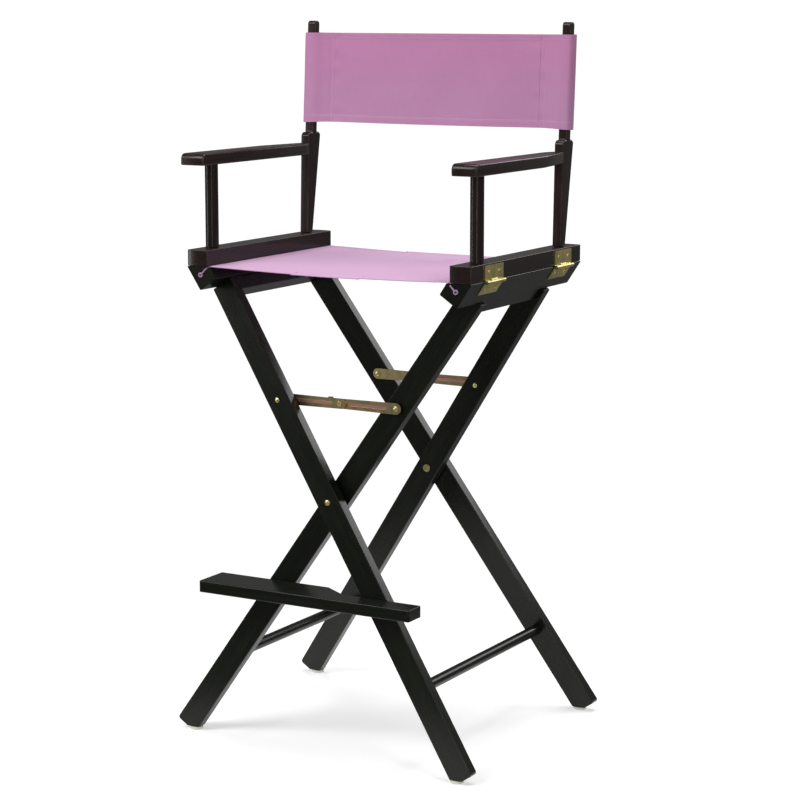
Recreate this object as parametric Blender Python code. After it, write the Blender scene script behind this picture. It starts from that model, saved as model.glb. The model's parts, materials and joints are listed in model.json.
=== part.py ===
"""Folding director chair, bar height, with a canvas seat and back and a footrest.

Two crossed frames turn on a pair of pivot bolts. Each frame carries a seat rail, and an arm unit is
hinged to the outer edge of each rail. Locking braces tie the frames together above the pivots.

The chair is modelled in metres with +Z up and its front towards -Y. A frame's parts are drawn in
leg coordinates: n runs across a leg, positive away from the chair's middle at seat height, and
e runs up along it from the pivot. Side +1 is the inner frame, whose rail is on the right, and
side -1 the outer frame, whose rail is on the left.
"""

import math

import bmesh
import bpy
from mathutils import Matrix, Vector

MM = 0.001
GAP = 0.3 * MM                      # between pieces that touch

# Frames
LEG_ANGLE = math.radians(33.6)      # leg from the vertical, seen from the front
SIN_LEG = math.sin(LEG_ANGLE)
COS_LEG = math.cos(LEG_ANGLE)
SPLAY = 0.0920                      # how far a leg moves in Y for each unit along it
PIVOT_HEIGHT = 407.6 * MM
LEG_WIDTH = 40 * MM
LEG_THICKNESS = 19 * MM
LEG_ABOVE_PIVOT = 399 * MM
LEG_BELOW_PIVOT = 482 * MM
LEG_GAP = 10 * MM                   # between an outer leg and the inner leg behind it
OUTER_HALF_DEPTH = 186 * MM         # outer frame's outer leg face, at the pivot
FOOT_ROUNDING = 5 * MM
WOOD_ROUNDING = 1.2 * MM

# Seat rails and spacers
RAIL_OUTER = 15 * MM                # rail's outer face, across the leg
RAIL_INNER = -21 * MM
RAIL_TOP = PIVOT_HEIGHT + LEG_ABOVE_PIVOT * COS_LEG - RAIL_OUTER * SIN_LEG + 38.16 * MM
RAIL_CORNER = (RAIL_TOP - PIVOT_HEIGHT) * SIN_LEG / COS_LEG + RAIL_OUTER / COS_LEG    # top outer edge
RAIL_HALF_LENGTH = 191 * MM
RAIL_HORN_ROUNDING = 1.4 * MM
SPACER_OUTER = 13 * MM
SPACER_INNER = -19 * MM
SPACER_HEIGHT = 23 * MM

# Keyhole groove and the canvas seam in it
BORE_FROM_TOP = 12.8 * MM
BORE_FROM_OUTER = 10.8 * MM         # wood left between the bore and the rail's outer face
SLOT_WIDTH = 2.4 * MM
DOWEL_RADIUS = 2.3 * MM
CANVAS_THICKNESS = 1.2 * MM
CANVAS_CLEARANCE = 0.35 * MM
BORE_RADIUS = DOWEL_RADIUS + CANVAS_THICKNESS + CANVAS_CLEARANCE + 0.65 * MM
SEAT_HALF_LENGTH = 187 * MM
SEAT_SAG = 5.0 * MM

# Feet, stretchers
GLIDE_RADIUS = 11 * MM
GLIDE_HEIGHT = 5 * MM
STRETCHER_RADIUS = 9 * MM
STRETCHER_HEIGHT = 135 * MM
SOCKET_DEPTH = 8 * MM

# Pivots
PIVOT_SHAFT = 3.5 * MM
PIVOT_HEAD_RADIUS = 5.4 * MM
PIVOT_HEAD_HEIGHT = 4.0 * MM
PIVOT_BUSH_RADIUS = 8 * MM
PIVOT_NUT_RADIUS = 6.5 * MM
PIVOT_NUT_HEIGHT = 3.0 * MM
SHAFT_CLEARANCE = 0.3 * MM
SPOT_DEPTH = 1.0 * MM               # flat seats for the pivot's head and nut, cut into the legs

# Locking braces
BRACE_BOLT_REACH = 183.7 * MM       # bolt from the pivot, along the leg
LINK_END_RADIUS = 9 * MM
LINK_MIDDLE_HALF = 8 * MM
LINK_PLATE = 1.6 * MM
OUTER_LINK_OFFSET = LEG_GAP - 8.4 * MM        # near face of a link from the outer leg's back face
INNER_LINK_OFFSET = LEG_GAP - 6.1 * MM
OUTER_LINK_PAST_RIVET = 11.5 * MM
INNER_LINK_PAST_RIVET = 20 * MM
RIB_HEIGHT = 0.8 * MM
RIB_WIDTH = 5.5 * MM
STOP_TAB_START = 13 * MM            # from the rivet
STOP_TAB_LENGTH = 7.5 * MM
BRACE_SHAFT = 2.5 * MM
BRACE_HEAD_RADIUS = 4.4 * MM
LEG_FOLDED_ANGLE = math.radians(5.6)

# Footrest
FOOTREST_TOP = 268 * MM
FOOTREST_THICKNESS = 19 * MM
FOOTREST_FRONT = OUTER_HALF_DEPTH + 57 * MM
FOOTREST_LEFT = -209 * MM
FOOTREST_RIGHT = 180 * MM
FOOTREST_STEP_START = -4 * MM
FOOTREST_STEP_END = 40 * MM
FOOTREST_FOLDED_ANGLE = math.radians(17)
FOOTREST_BOLT_RADIUS = 3 * MM
FOOTREST_PEG_RADIUS = 3.5 * MM

# Arm units
ARM_BASE_OUTER = RAIL_CORNER - 1.45 * MM
ARM_BASE_INNER = ARM_BASE_OUTER - 36.8 * MM
ARM_BASE_BOTTOM = RAIL_TOP + 0.6 * MM
ARM_BASE_HEIGHT = 26.1 * MM
ARM_BASE_TOP = ARM_BASE_BOTTOM + ARM_BASE_HEIGHT
ARM_BASE_BOW = 2 * MM
FRONT_POST_RADIUS = 10.75 * MM
FRONT_POST_X = ARM_BASE_OUTER - 15.5 * MM
FRONT_POST_Y = -143 * MM
ARMREST_BOTTOM = ARM_BASE_TOP + 134.5 * MM
ARMREST_THICKNESS = 19 * MM
ARMREST_INNER = FRONT_POST_X - 18.6 * MM
ARMREST_OUTER = FRONT_POST_X + 25.6 * MM
ARMREST_FRONT = -192.7 * MM
ARMREST_NOSE = 7 * MM
BACK_POST_X = ARM_BASE_OUTER - 16.6 * MM
BACK_POST_WIDTH = 16 * MM
BACK_POST_FRONT = 135 * MM
BACK_POST_BASE_DEPTH = 16.5 * MM
BACK_POST_SHOULDER = ARM_BASE_TOP + 171.5 * MM
BACK_POST_SHOULDER_DEPTH = 38.5 * MM
BACK_POST_LEAN_AT_SHOULDER = 5 * MM
NECK_DEPTH = 14 * MM
NECK_BASE_Y = 160 * MM
NECK_LEAN = 0.0601
OVERALL_HEIGHT = ARM_BASE_TOP + 359.5 * MM

# Arm hinges
PIN_X = RAIL_CORNER + 2.85 * MM
PIN_Z = RAIL_TOP - 1.8 * MM
PIN_RADIUS = 1.3 * MM
KNUCKLE_RADIUS = 3 * MM
LEAF_THICKNESS = 1.5 * MM
LEAF_LENGTH = 60 * MM
LEAF_HEIGHT = 25 * MM
HINGE_CENTRES = {"front": -118 * MM, "rear": 123 * MM}
KNUCKLE_COUNT = 3

# Back canvas
BACK_BOTTOM = BACK_POST_SHOULDER + 18 * MM
BACK_TOP = BACK_BOTTOM + 150 * MM
BACK_OUTER_END = BACK_POST_X + 13.4 * MM
SLEEVE_SEAM = BACK_POST_X - 38.6 * MM
BACK_BOW = 5 * MM

LEG_DEPTH = LEG_THICKNESS * math.hypot(1, SPLAY)
INNER_HALF_DEPTH = OUTER_HALF_DEPTH - LEG_DEPTH - LEG_GAP + 0.08 * MM
FRAME_HALF_DEPTH = {-1: OUTER_HALF_DEPTH, 1: INNER_HALF_DEPTH}
FRAME_NAME = {-1: "outer", 1: "inner"}
SIDE_NAME = {-1: "left", 1: "right"}
ROW_NAME = {-1: "front", 1: "rear"}
FOOT_REACH = (OUTER_HALF_DEPTH - LEG_DEPTH / 2 + SPLAY * (PIVOT_HEIGHT - GLIDE_HEIGHT) / COS_LEG
              + GLIDE_RADIUS)
SHIFT_Y = (FOOTREST_FRONT - FOOT_REACH) / 2     # centres the whole chair on the origin

WOOD = ("black_wood", (0.012, 0.011, 0.010), 0.32, 0.0)
CANVAS = ("canvas", (0.66, 0.42, 0.64), 0.9, 0.0)
ZINC = ("yellow_zinc", (0.62, 0.47, 0.20), 0.35, 1.0)
BRASS = ("brass", (0.55, 0.40, 0.16), 0.3, 1.0)
PLASTIC = ("pale_plastic", (0.78, 0.76, 0.70), 0.5, 0.0)


# ---------------------------------------------------------------- frame coordinates

def leg_point(side, n, e):
    """World X and Z of a point given across (n) and along (e) a frame's leg."""
    return side * (e * SIN_LEG + n * COS_LEG), PIVOT_HEIGHT + e * COS_LEG - n * SIN_LEG


def leg_coordinates(side, x, z):
    """The reverse of leg_point."""
    rise = z - PIVOT_HEIGHT
    return side * x * COS_LEG - rise * SIN_LEG, side * x * SIN_LEG + rise * COS_LEG


def leg_face(side, row, e, inward=0.0):
    """Y of a leg's outer face at e, or of a surface that lies further in."""
    return row * (FRAME_HALF_DEPTH[side] - SPLAY * e - inward) + SHIFT_Y


def leg_axes(side, row):
    """Directions across, through and up a leg; through points towards +Y."""
    up = Vector((side * SIN_LEG, -row * SPLAY, COS_LEG)).normalized()
    across = Vector((COS_LEG, 0, -side * SIN_LEG))
    through = up.cross(across).normalized()
    return across, through, up


# ---------------------------------------------------------------- materials and objects

def clear_scene():
    for item in list(bpy.data.objects):
        bpy.data.objects.remove(item, do_unlink=True)


def material(spec):
    name, colour, roughness, metallic = spec
    existing = bpy.data.materials.get(name)
    if existing:
        return existing
    made = bpy.data.materials.new(name)
    made.use_nodes = True
    shader = made.node_tree.nodes["Principled BSDF"]
    shader.inputs["Base Color"].default_value = (*colour, 1.0)
    shader.inputs["Roughness"].default_value = roughness
    shader.inputs["Metallic"].default_value = metallic
    return made


def finish_object(name, mesh_data, spec, smooth_angle=35):
    """Turn a bmesh into a named object with its material."""
    bmesh.ops.recalc_face_normals(mesh_data, faces=mesh_data.faces)
    mesh = bpy.data.meshes.new(name)
    mesh_data.to_mesh(mesh)
    mesh_data.free()
    mesh.shade_smooth()
    mesh.set_sharp_from_angle(angle=math.radians(smooth_angle))
    made = bpy.data.objects.new(name, mesh)
    bpy.context.scene.collection.objects.link(made)
    if spec:
        made.data.materials.append(material(spec))
    return made


def joint_empty(name, position):
    """An empty on a joint's axis; its children keep their own places."""
    empty = bpy.data.objects.new(name, None)
    empty.location = position
    bpy.context.scene.collection.objects.link(empty)
    return empty


def attach(child, empty):
    child.parent = empty
    child.matrix_parent_inverse = Matrix.Translation(-empty.location)


def round_edges(target, width=WOOD_ROUNDING, segments=2, angle=30):
    bevel = target.modifiers.new("rounding", "BEVEL")
    bevel.width = width
    bevel.segments = segments
    bevel.limit_method = "ANGLE"
    bevel.angle_limit = math.radians(angle)


def boolean(target, tool, operation):
    """Cut or join with a tool object that is left out of the build."""
    tool.hide_render = True
    tool.display_type = "WIRE"
    modifier = target.modifiers.new(operation.lower(), "BOOLEAN")
    modifier.operation = operation
    modifier.solver = "EXACT"
    modifier.object = tool


# ---------------------------------------------------------------- outlines

def arc(centre, radius, start, end, steps):
    """Points on an arc, angles in degrees."""
    points = []
    for step in range(steps + 1):
        angle = math.radians(start + (end - start) * step / steps)
        points.append((centre[0] + radius * math.cos(angle), centre[1] + radius * math.sin(angle)))
    return points


def rounded(outline, radii, steps=4):
    """Replace each corner whose radius isn't 0 by an arc."""
    points = []
    count = len(outline)
    for index, corner in enumerate(outline):
        radius = radii[index]
        here = Vector(corner)
        if radius <= 0:
            points.append(tuple(here))
            continue
        before = (Vector(outline[index - 1]) - here).normalized()
        after = (Vector(outline[(index + 1) % count]) - here).normalized()
        half = before.angle(after) / 2
        centre = here + (before + after).normalized() * radius / math.sin(half)
        reach = radius / math.tan(half)
        first = here + before * reach - centre
        last = here + after * reach - centre
        turn = first.angle_signed(last)
        for step in range(steps + 1):
            spun = Matrix.Rotation(-turn * step / steps, 2) @ first
            points.append(tuple(centre + spun))
    return points


def ribbon(centreline, thickness):
    """Outline of a band of even thickness along a line of points."""
    line = [Vector(point) for point in centreline]
    left, right = [], []
    for index, point in enumerate(line):
        before = (point - line[index - 1]).normalized() if index else None
        after = (line[index + 1] - point).normalized() if index < len(line) - 1 else None
        before = before or after
        after = after or before
        bisector = (before + after).normalized()
        normal = Vector((-bisector.y, bisector.x))
        reach = thickness / 2 / max(normal.dot(Vector((-after.y, after.x))), 0.5)
        left.append(tuple(point + normal * reach))
        right.append(tuple(point - normal * reach))
    return left + right[::-1]


# ---------------------------------------------------------------- solids

def prism(outline, near, far):
    """A closed solid from an (x, z) outline; near and far give each point's two Y values."""
    mesh_data = bmesh.new()
    front = [mesh_data.verts.new((x, near(x, z), z)) for x, z in outline]
    back = [mesh_data.verts.new((x, far(x, z), z)) for x, z in outline]
    mesh_data.faces.new(front)
    mesh_data.faces.new(back[::-1])
    for index in range(len(outline)):
        other = (index + 1) % len(outline)
        mesh_data.faces.new((front[other], front[index], back[index], back[other]))
    return mesh_data


def straight_prism(name, outline, y_from, y_to, spec):
    return finish_object(name, prism(outline, lambda x, z: y_from, lambda x, z: y_to), spec)


def plan_prism(name, outline, z_from, z_to, spec, lean=0.0, base=0.0):
    """A closed solid from an (x, y) outline, between two heights, leaning back by a slope."""
    mesh_data = bmesh.new()
    low = [mesh_data.verts.new((x, y + lean * (z_from - base), z_from)) for x, y in outline]
    high = [mesh_data.verts.new((x, y + lean * (z_to - base), z_to)) for x, y in outline]
    mesh_data.faces.new(low[::-1])
    mesh_data.faces.new(high)
    for index in range(len(outline)):
        other = (index + 1) % len(outline)
        mesh_data.faces.new((low[index], low[other], high[other], high[index]))
    return finish_object(name, mesh_data, spec)


def turned(profile, segments=24):
    """Revolve (along, radius) points, the first and last on the axis, about the Y axis."""
    mesh_data = bmesh.new()
    rings = []
    for along, radius in profile:
        if radius <= 0:
            rings.append([mesh_data.verts.new((0, along, 0))])
            continue
        ring = []
        for step in range(segments):
            angle = 2 * math.pi * step / segments
            ring.append(mesh_data.verts.new((radius * math.cos(angle), along, radius * math.sin(angle))))
        rings.append(ring)
    for ring, following in zip(rings, rings[1:]):
        for step in range(segments):
            other = (step + 1) % segments
            if len(ring) == 1:
                mesh_data.faces.new((ring[0], following[other], following[step]))
            elif len(following) == 1:
                mesh_data.faces.new((ring[step], ring[other], following[0]))
            else:
                mesh_data.faces.new((ring[step], ring[other], following[other], following[step]))
    return mesh_data


def turned_object(name, profile, position, spec, axis=None, segments=24):
    """A turned piece whose own Y axis is laid along axis, world +Y when none is given."""
    mesh_data = turned(profile, segments)
    if axis is not None:
        turn = Vector((0, 1, 0)).rotation_difference(axis)
        bmesh.ops.rotate(mesh_data, verts=mesh_data.verts, matrix=turn.to_matrix())
    made = finish_object(name, mesh_data, spec)
    made.location = position
    return made


def rod_profile(start, end, radius, chamfer=0.0):
    """Profile of a plain rod with chamfered ends."""
    if chamfer <= 0:
        return [(start, 0), (start, radius), (end, radius), (end, 0)]
    return [(start, 0), (start, radius - chamfer), (start + chamfer, radius),
            (end - chamfer, radius), (end, radius - chamfer), (end, 0)]


def dome(base, height, radius, steps=3):
    """Profile of a domed head that rises from base to base + height, from rim to crown."""
    points = []
    for step in range(steps + 1):
        angle = math.pi / 2 * step / steps
        points.append((base + height * math.sin(angle), radius * math.cos(angle)))
    points[-1] = (base + height, 0)
    return points


# ---------------------------------------------------------------- braces and footrest axes

def folding_axis(rest_direction, folded_direction, folded_normal):
    """Axis and angle that turn a piece lying in the XZ plane on to a leaning leg's face."""
    rest_normal = Vector((0, 1, 0))
    rest = Matrix((rest_direction, rest_normal, rest_direction.cross(rest_normal))).transposed()
    side_way = folded_direction.cross(folded_normal)
    folded = Matrix((folded_direction, folded_normal, side_way)).transposed()
    turn = (folded @ rest.transposed()).to_quaternion()
    axis, angle = turn.to_axis_angle()
    if axis.y < 0:
        axis, angle = -axis, -angle
    return axis, angle


def brace_axis(side, row):
    """Joint axis of a link, so that it lies along its leg when the chair is folded."""
    across, through, up = leg_axes(side, row)
    half_span = BRACE_BOLT_REACH * SIN_LEG
    lift = math.acos(BRACE_BOLT_REACH * math.sin(LEG_FOLDED_ANGLE) / half_span)
    from_leg = math.pi / 2 - lift + LEG_FOLDED_ANGLE
    folded = up * math.cos(from_leg) - across * side * math.sin(from_leg)
    return folding_axis(Vector((-side, 0, 0)), folded, through)


def footrest_axis():
    """Joint axis of the footrest, which swings up beside the outer front leg."""
    across, through, up = leg_axes(-1, -1)
    folded = up * math.cos(FOOTREST_FOLDED_ANGLE) - across * math.sin(FOOTREST_FOLDED_ANGLE)
    return folding_axis(Vector((-1, 0, 0)), folded, through)


def brace_bolt_point(side, row):
    """Where a brace bolt's axis meets its leg's gap face: X, Y and Z."""
    x, z = leg_point(side, 0, BRACE_BOLT_REACH)
    inward = LEG_DEPTH if side < 0 else 0.0
    return Vector((x, leg_face(side, row, BRACE_BOLT_REACH, inward), z))


# ---------------------------------------------------------------- frames

def make_leg(side, row):
    """A leg board: square at the top, with a level foot, holes and a stretcher socket."""
    half = LEG_WIDTH / 2
    foot_level = (PIVOT_HEIGHT - GLIDE_HEIGHT) / COS_LEG
    flat_outer = (PIVOT_HEIGHT - LEG_BELOW_PIVOT * COS_LEG - GLIDE_HEIGHT) / SIN_LEG
    flat_inner = -foot_level + half * math.tan(LEG_ANGLE)
    outline = [(-half, LEG_ABOVE_PIVOT - GAP), (half, LEG_ABOVE_PIVOT - GAP), (half, flat_inner),
               (flat_outer, -LEG_BELOW_PIVOT), (-half, -LEG_BELOW_PIVOT)]
    outline = rounded(outline, [0, 0, 0, 0, FOOT_ROUNDING])
    corners = [leg_point(side, n, e) for n, e in outline]

    def outer(x, z):
        return leg_face(side, row, leg_coordinates(side, x, z)[1])

    def inner(x, z):
        return leg_face(side, row, leg_coordinates(side, x, z)[1], LEG_DEPTH)

    name = "leg_%s_%s" % (FRAME_NAME[side], ROW_NAME[row])
    leg = finish_object(name, prism(corners, outer, inner), WOOD)
    round_edges(leg)
    cut_leg_holes(leg, side, row)
    return leg


def cut_leg_holes(leg, side, row):
    through = LEG_DEPTH
    seat_radius = (PIVOT_HEAD_RADIUS if side < 0 else PIVOT_NUT_RADIUS) + 0.6 * MM
    face = leg_face(side, row, 0, SPOT_DEPTH if side < 0 else LEG_DEPTH - SPOT_DEPTH)
    away = row if side < 0 else -row
    bore = PIVOT_SHAFT + SHAFT_CLEARANCE
    stepped = [(10 * MM, 0), (10 * MM, seat_radius), (0, seat_radius), (0, bore),
               (-through * 1.5, bore), (-through * 1.5, 0)]
    stepped = [(away * along, radius) for along, radius in stepped]
    seat = Vector((0, face, PIVOT_HEIGHT))
    boolean(leg, turned_object(leg.name + "_pivot_hole", stepped, seat, None), "DIFFERENCE")

    axis = brace_axis(side, row)[0]
    at = brace_bolt_point(side, row)
    hole = rod_profile(-through * 1.5, through * 1.5, BRACE_SHAFT + SHAFT_CLEARANCE)
    boolean(leg, turned_object(leg.name + "_brace_hole", hole, at, None, axis, 14), "DIFFERENCE")

    x, z, along = stretcher_place(side)
    face = leg_face(side, row, along, LEG_DEPTH)
    socket = rod_profile(-row * 5 * MM, row * SOCKET_DEPTH, STRETCHER_RADIUS + GAP)
    at = Vector((x, face, z))
    boolean(leg, turned_object(leg.name + "_socket", socket, at, None), "DIFFERENCE")

    if row < 0:
        at = footrest_bolt_point(side)
        turn = footrest_axis()[0] if side < 0 else None
        radius = (FOOTREST_BOLT_RADIUS if side < 0 else FOOTREST_PEG_RADIUS) + GAP
        hole = rod_profile(-through, through * 2, radius)
        boolean(leg, turned_object(leg.name + "_footrest_hole", hole, at, None, turn, 16), "DIFFERENCE")


def stretcher_place(side):
    """X, Z and distance along the leg of a stretcher's axis."""
    along = (STRETCHER_HEIGHT - PIVOT_HEIGHT) / COS_LEG
    x, z = leg_point(side, 0, along)
    return x, z, along


def make_stretcher(side):
    x, z, along = stretcher_place(side)
    reach = leg_face(side, 1, along, LEG_DEPTH) - SHIFT_Y + SOCKET_DEPTH - GAP
    profile = rod_profile(-reach, reach, STRETCHER_RADIUS, 1 * MM)
    turned_object("stretcher_" + FRAME_NAME[side], profile, Vector((x, SHIFT_Y, z)), WOOD)


def make_glide(side, row):
    """A plastic foot nailed to the level end of a leg."""
    foot_level = (PIVOT_HEIGHT - GLIDE_HEIGHT) / COS_LEG
    flat_outer = (PIVOT_HEIGHT - LEG_BELOW_PIVOT * COS_LEG - GLIDE_HEIGHT) / SIN_LEG
    flat_inner = LEG_WIDTH / 2
    outer_x = abs(leg_point(side, flat_outer, -LEG_BELOW_PIVOT)[0])
    inner_x = abs(leg_point(side, flat_inner, -foot_level + flat_inner * math.tan(LEG_ANGLE))[0])
    along = -foot_level
    place = Vector((-side * ((outer_x + inner_x) / 2 - 1.5 * MM),
                    leg_face(side, row, along, LEG_DEPTH / 2), 0))
    top = GLIDE_HEIGHT - GAP
    crown = 1.2 * MM
    profile = [(0, 0), (0, GLIDE_RADIUS - crown), (crown * 0.3, GLIDE_RADIUS - crown * 0.3),
               (crown, GLIDE_RADIUS), (top - 0.6 * MM, GLIDE_RADIUS), (top, GLIDE_RADIUS - 0.6 * MM),
               (top, 0)]
    name = "glide_%s_%s" % (FRAME_NAME[side], ROW_NAME[row])
    turned_object(name, profile, place, PLASTIC, Vector((0, 0, 1)), 20)


def groove_centre(side):
    """X and Z of the keyhole groove's bore."""
    z = RAIL_TOP - BORE_FROM_TOP
    across = RAIL_OUTER - BORE_FROM_OUTER - BORE_RADIUS
    x = ((z - PIVOT_HEIGHT) * SIN_LEG + across) / COS_LEG
    return side * x, z


def make_rail(side):
    """A seat rail with its keyhole groove, open towards the seat."""
    level = (RAIL_TOP - PIVOT_HEIGHT)
    outer_top = (level + RAIL_OUTER * SIN_LEG) / COS_LEG
    inner_top = (level + RAIL_INNER * SIN_LEG) / COS_LEG
    bore_x, bore_z = groove_centre(1)
    rise = RAIL_TOP - bore_z
    lip = SLOT_WIDTH / 2 * math.sqrt(2)
    mouth = math.degrees(math.asin(SLOT_WIDTH / 2 / BORE_RADIUS))
    bore = arc((bore_x, bore_z), BORE_RADIUS, 135 - mouth, -225 + mouth, 18)
    outline = [leg_point(1, RAIL_INNER, LEG_ABOVE_PIVOT), leg_point(1, RAIL_OUTER, LEG_ABOVE_PIVOT),
               leg_point(1, RAIL_OUTER, outer_top), (bore_x - rise + lip, RAIL_TOP)]
    outline += bore
    outline += [(bore_x - rise - lip, RAIL_TOP), leg_point(1, RAIL_INNER, inner_top)]
    radii = [2 * MM, 1.5 * MM, 1.2 * MM, 0.8 * MM] + [0] * len(bore)
    radii += [RAIL_HORN_ROUNDING * 0.6, RAIL_HORN_ROUNDING]
    outline = [(side * x, z) for x, z in rounded(outline, radii, 3)]
    name = "seat_rail_" + SIDE_NAME[side]
    straight_prism(name, outline, SHIFT_Y - RAIL_HALF_LENGTH, SHIFT_Y + RAIL_HALF_LENGTH, WOOD)


def make_spacer(side):
    """The short apron under a rail, between the legs of its frame."""
    low = LEG_ABOVE_PIVOT - SPACER_HEIGHT
    high = LEG_ABOVE_PIVOT - GAP
    outline = [(SPACER_INNER, low), (SPACER_OUTER, low), (SPACER_OUTER, high), (SPACER_INNER, high)]
    corners = [leg_point(side, n, e) for n, e in outline]

    def end(row):
        return lambda x, z: leg_face(side, row, leg_coordinates(side, x, z)[1], LEG_DEPTH + GAP)

    spacer = finish_object("spacer_" + SIDE_NAME[side], prism(corners, end(-1), end(1)), WOOD)
    round_edges(spacer)


def make_pivot(row):
    """Bolt, bush and nut of one scissor pivot, all centred on the pivot axis."""
    head_base = OUTER_HALF_DEPTH - SPOT_DEPTH + GAP
    nut_base = INNER_HALF_DEPTH - LEG_DEPTH + SPOT_DEPTH - GAP
    centre = Vector((0, SHIFT_Y, PIVOT_HEIGHT))
    name = ROW_NAME[row]
    tip = nut_base - 1.0 * MM
    profile = [(tip, 0), (tip, PIVOT_SHAFT), (head_base, PIVOT_SHAFT)]
    profile += dome(head_base, PIVOT_HEAD_HEIGHT, PIVOT_HEAD_RADIUS)
    profile = [(row * along, radius) for along, radius in profile]
    turned_object("pivot_bolt_" + name, profile, centre, BRASS)

    bush_clear = GAP + PIVOT_BUSH_RADIUS * SPLAY
    start = INNER_HALF_DEPTH + bush_clear
    end = OUTER_HALF_DEPTH - LEG_DEPTH - bush_clear
    bush = [(row * start, PIVOT_SHAFT + SHAFT_CLEARANCE), (row * start, PIVOT_BUSH_RADIUS),
            (row * end, PIVOT_BUSH_RADIUS), (row * end, PIVOT_SHAFT + SHAFT_CLEARANCE)]
    turned_ring("pivot_bush_" + name, bush, centre, ZINC)

    outer_end = nut_base - PIVOT_NUT_HEIGHT
    recess = 2.8 * MM
    hole = PIVOT_SHAFT + SHAFT_CLEARANCE
    nut = [(nut_base - 1.4 * MM, 0), (nut_base - 1.4 * MM, hole), (nut_base, hole),
           (nut_base, PIVOT_NUT_RADIUS), (outer_end + 0.5 * MM, PIVOT_NUT_RADIUS),
           (outer_end, PIVOT_NUT_RADIUS - 0.5 * MM), (outer_end, recess),
           (outer_end + 1.0 * MM, recess), (outer_end + 1.0 * MM, 0)]
    nut = [(row * along, radius) for along, radius in nut]
    turned_object("pivot_nut_" + name, nut, centre, BRASS)


def turned_ring(name, profile, position, spec, segments=24):
    """A turned piece with a hole: the profile is a closed loop away from the axis."""
    mesh_data = bmesh.new()
    rings = []
    for step in range(segments):
        angle = 2 * math.pi * step / segments
        way = (math.cos(angle), math.sin(angle))
        ring = [mesh_data.verts.new((r * way[0], along, r * way[1])) for along, r in profile]
        rings.append(ring)
    for step in range(segments):
        ring, following = rings[step], rings[(step + 1) % segments]
        for index in range(len(profile)):
            other = (index + 1) % len(profile)
            mesh_data.faces.new((ring[index], ring[other], following[other], following[index]))
    made = finish_object(name, mesh_data, spec)
    made.location = position
    return made


def make_brace_bolt(side, row):
    """A shouldered rivet that holds a link to its leg; it lies along the link's joint axis."""
    axis = brace_axis(side, row)[0]
    inward = -row                          # from the outer leg towards the inner one
    link_near = OUTER_LINK_OFFSET if side < 0 else LEG_GAP - INNER_LINK_OFFSET - LINK_PLATE
    link_far = link_near + LINK_PLATE
    away = inward if side < 0 else -inward  # from the leg into the gap
    tilt = 0.35 * MM
    shoulder = BRACE_HEAD_RADIUS * 0.8
    head = -LEG_DEPTH - tilt - GAP
    end_head = link_far + tilt + 0.1 * MM
    profile = [(along, radius) for along, radius in dome(0, -2.4 * MM, BRACE_HEAD_RADIUS)][::-1]
    profile = [(head + along, radius) for along, radius in profile]
    profile += [(head, BRACE_SHAFT), (tilt + 0.1 * MM, BRACE_SHAFT), (tilt + 0.1 * MM, shoulder),
                (link_near - tilt, shoulder), (link_near - tilt, BRACE_SHAFT), (end_head, BRACE_SHAFT)]
    profile += dome(end_head, 1.7 * MM, BRACE_HEAD_RADIUS)
    profile = [(away * along, radius) for along, radius in profile]
    name = "brace_bolt_%s_%s" % (FRAME_NAME[side], ROW_NAME[row])
    turned_object(name, profile, brace_bolt_point(side, row), ZINC, axis, 14)


def link_offset(side):
    """A link plate's near and far distance from the outer leg's back face."""
    near = OUTER_LINK_OFFSET if side < 0 else INNER_LINK_OFFSET
    return near, near + LINK_PLATE


def make_link(side, row):
    """One half of a locking brace, level at rest, from its leg bolt past the middle rivet."""
    length = BRACE_BOLT_REACH * SIN_LEG
    past = OUTER_LINK_PAST_RIVET if side < 0 else INNER_LINK_PAST_RIVET
    far = length + past
    outline = arc((0, 0), LINK_END_RADIUS, 90, 270, 8)
    corner = LINK_MIDDLE_HALF if side < 0 else 3 * MM
    outline += rounded([(length, -LINK_MIDDLE_HALF), (far, -LINK_MIDDLE_HALF), (far, LINK_MIDDLE_HALF),
                        (length, LINK_MIDDLE_HALF)], [0, corner * 0.99, corner * 0.99, 0], 5)
    outline = [(-side * x, z) for x, z in outline]
    bolt = brace_bolt_point(side, row)
    gap_face = leg_face(-1, row, BRACE_BOLT_REACH, LEG_DEPTH)
    near, back = [gap_face - row * offset - bolt.y for offset in link_offset(side)]
    name = "brace_link_%s_%s" % (SIDE_NAME[side], ROW_NAME[row])
    link = finish_object(name, prism(outline, lambda x, z: near, lambda x, z: back), ZINC)
    link.location = bolt

    rib_face = near if side < 0 else back
    rise = row if side < 0 else -row
    rib_start, rib_end = 16 * MM, length - 14 * MM
    half = RIB_WIDTH / 2
    rib = rounded([(rib_start, -half), (rib_end, -half), (rib_end, half), (rib_start, half)],
                  [half * 0.98] * 4, 4)
    rib = [(-side * x, z) for x, z in rib]
    inside, outside = rib_face - rise * 0.5 * MM, rib_face + rise * RIB_HEIGHT
    add_to_link(link, name + "_rib", rib, inside, outside, bolt)

    if side > 0:
        start = length + STOP_TAB_START
        low, high = LINK_MIDDLE_HALF - 1.2 * MM, LINK_MIDDLE_HALF + GAP
        lug = [(start, low), (start + STOP_TAB_LENGTH, low),
               (start + STOP_TAB_LENGTH, high + LINK_PLATE), (start, high + LINK_PLATE)]
        lug = [(-x, z) for x, z in lug]
        add_to_link(link, name + "_lug", lug, near + row * 0.0, back, bolt)
        tab = [(x, max(z, high)) for x, z in lug]
        reach = near + row * (INNER_LINK_OFFSET - OUTER_LINK_OFFSET + 0.4 * MM)
        add_to_link(link, name + "_tab", tab, back, reach, bolt)

    hole = rod_profile(-8 * MM, 8 * MM, BRACE_SHAFT + 0.5 * MM)
    axis = brace_axis(side, row)[0]
    boolean(link, turned_object(name + "_hole", hole, bolt, None, axis, 14), "DIFFERENCE")
    return link


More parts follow.
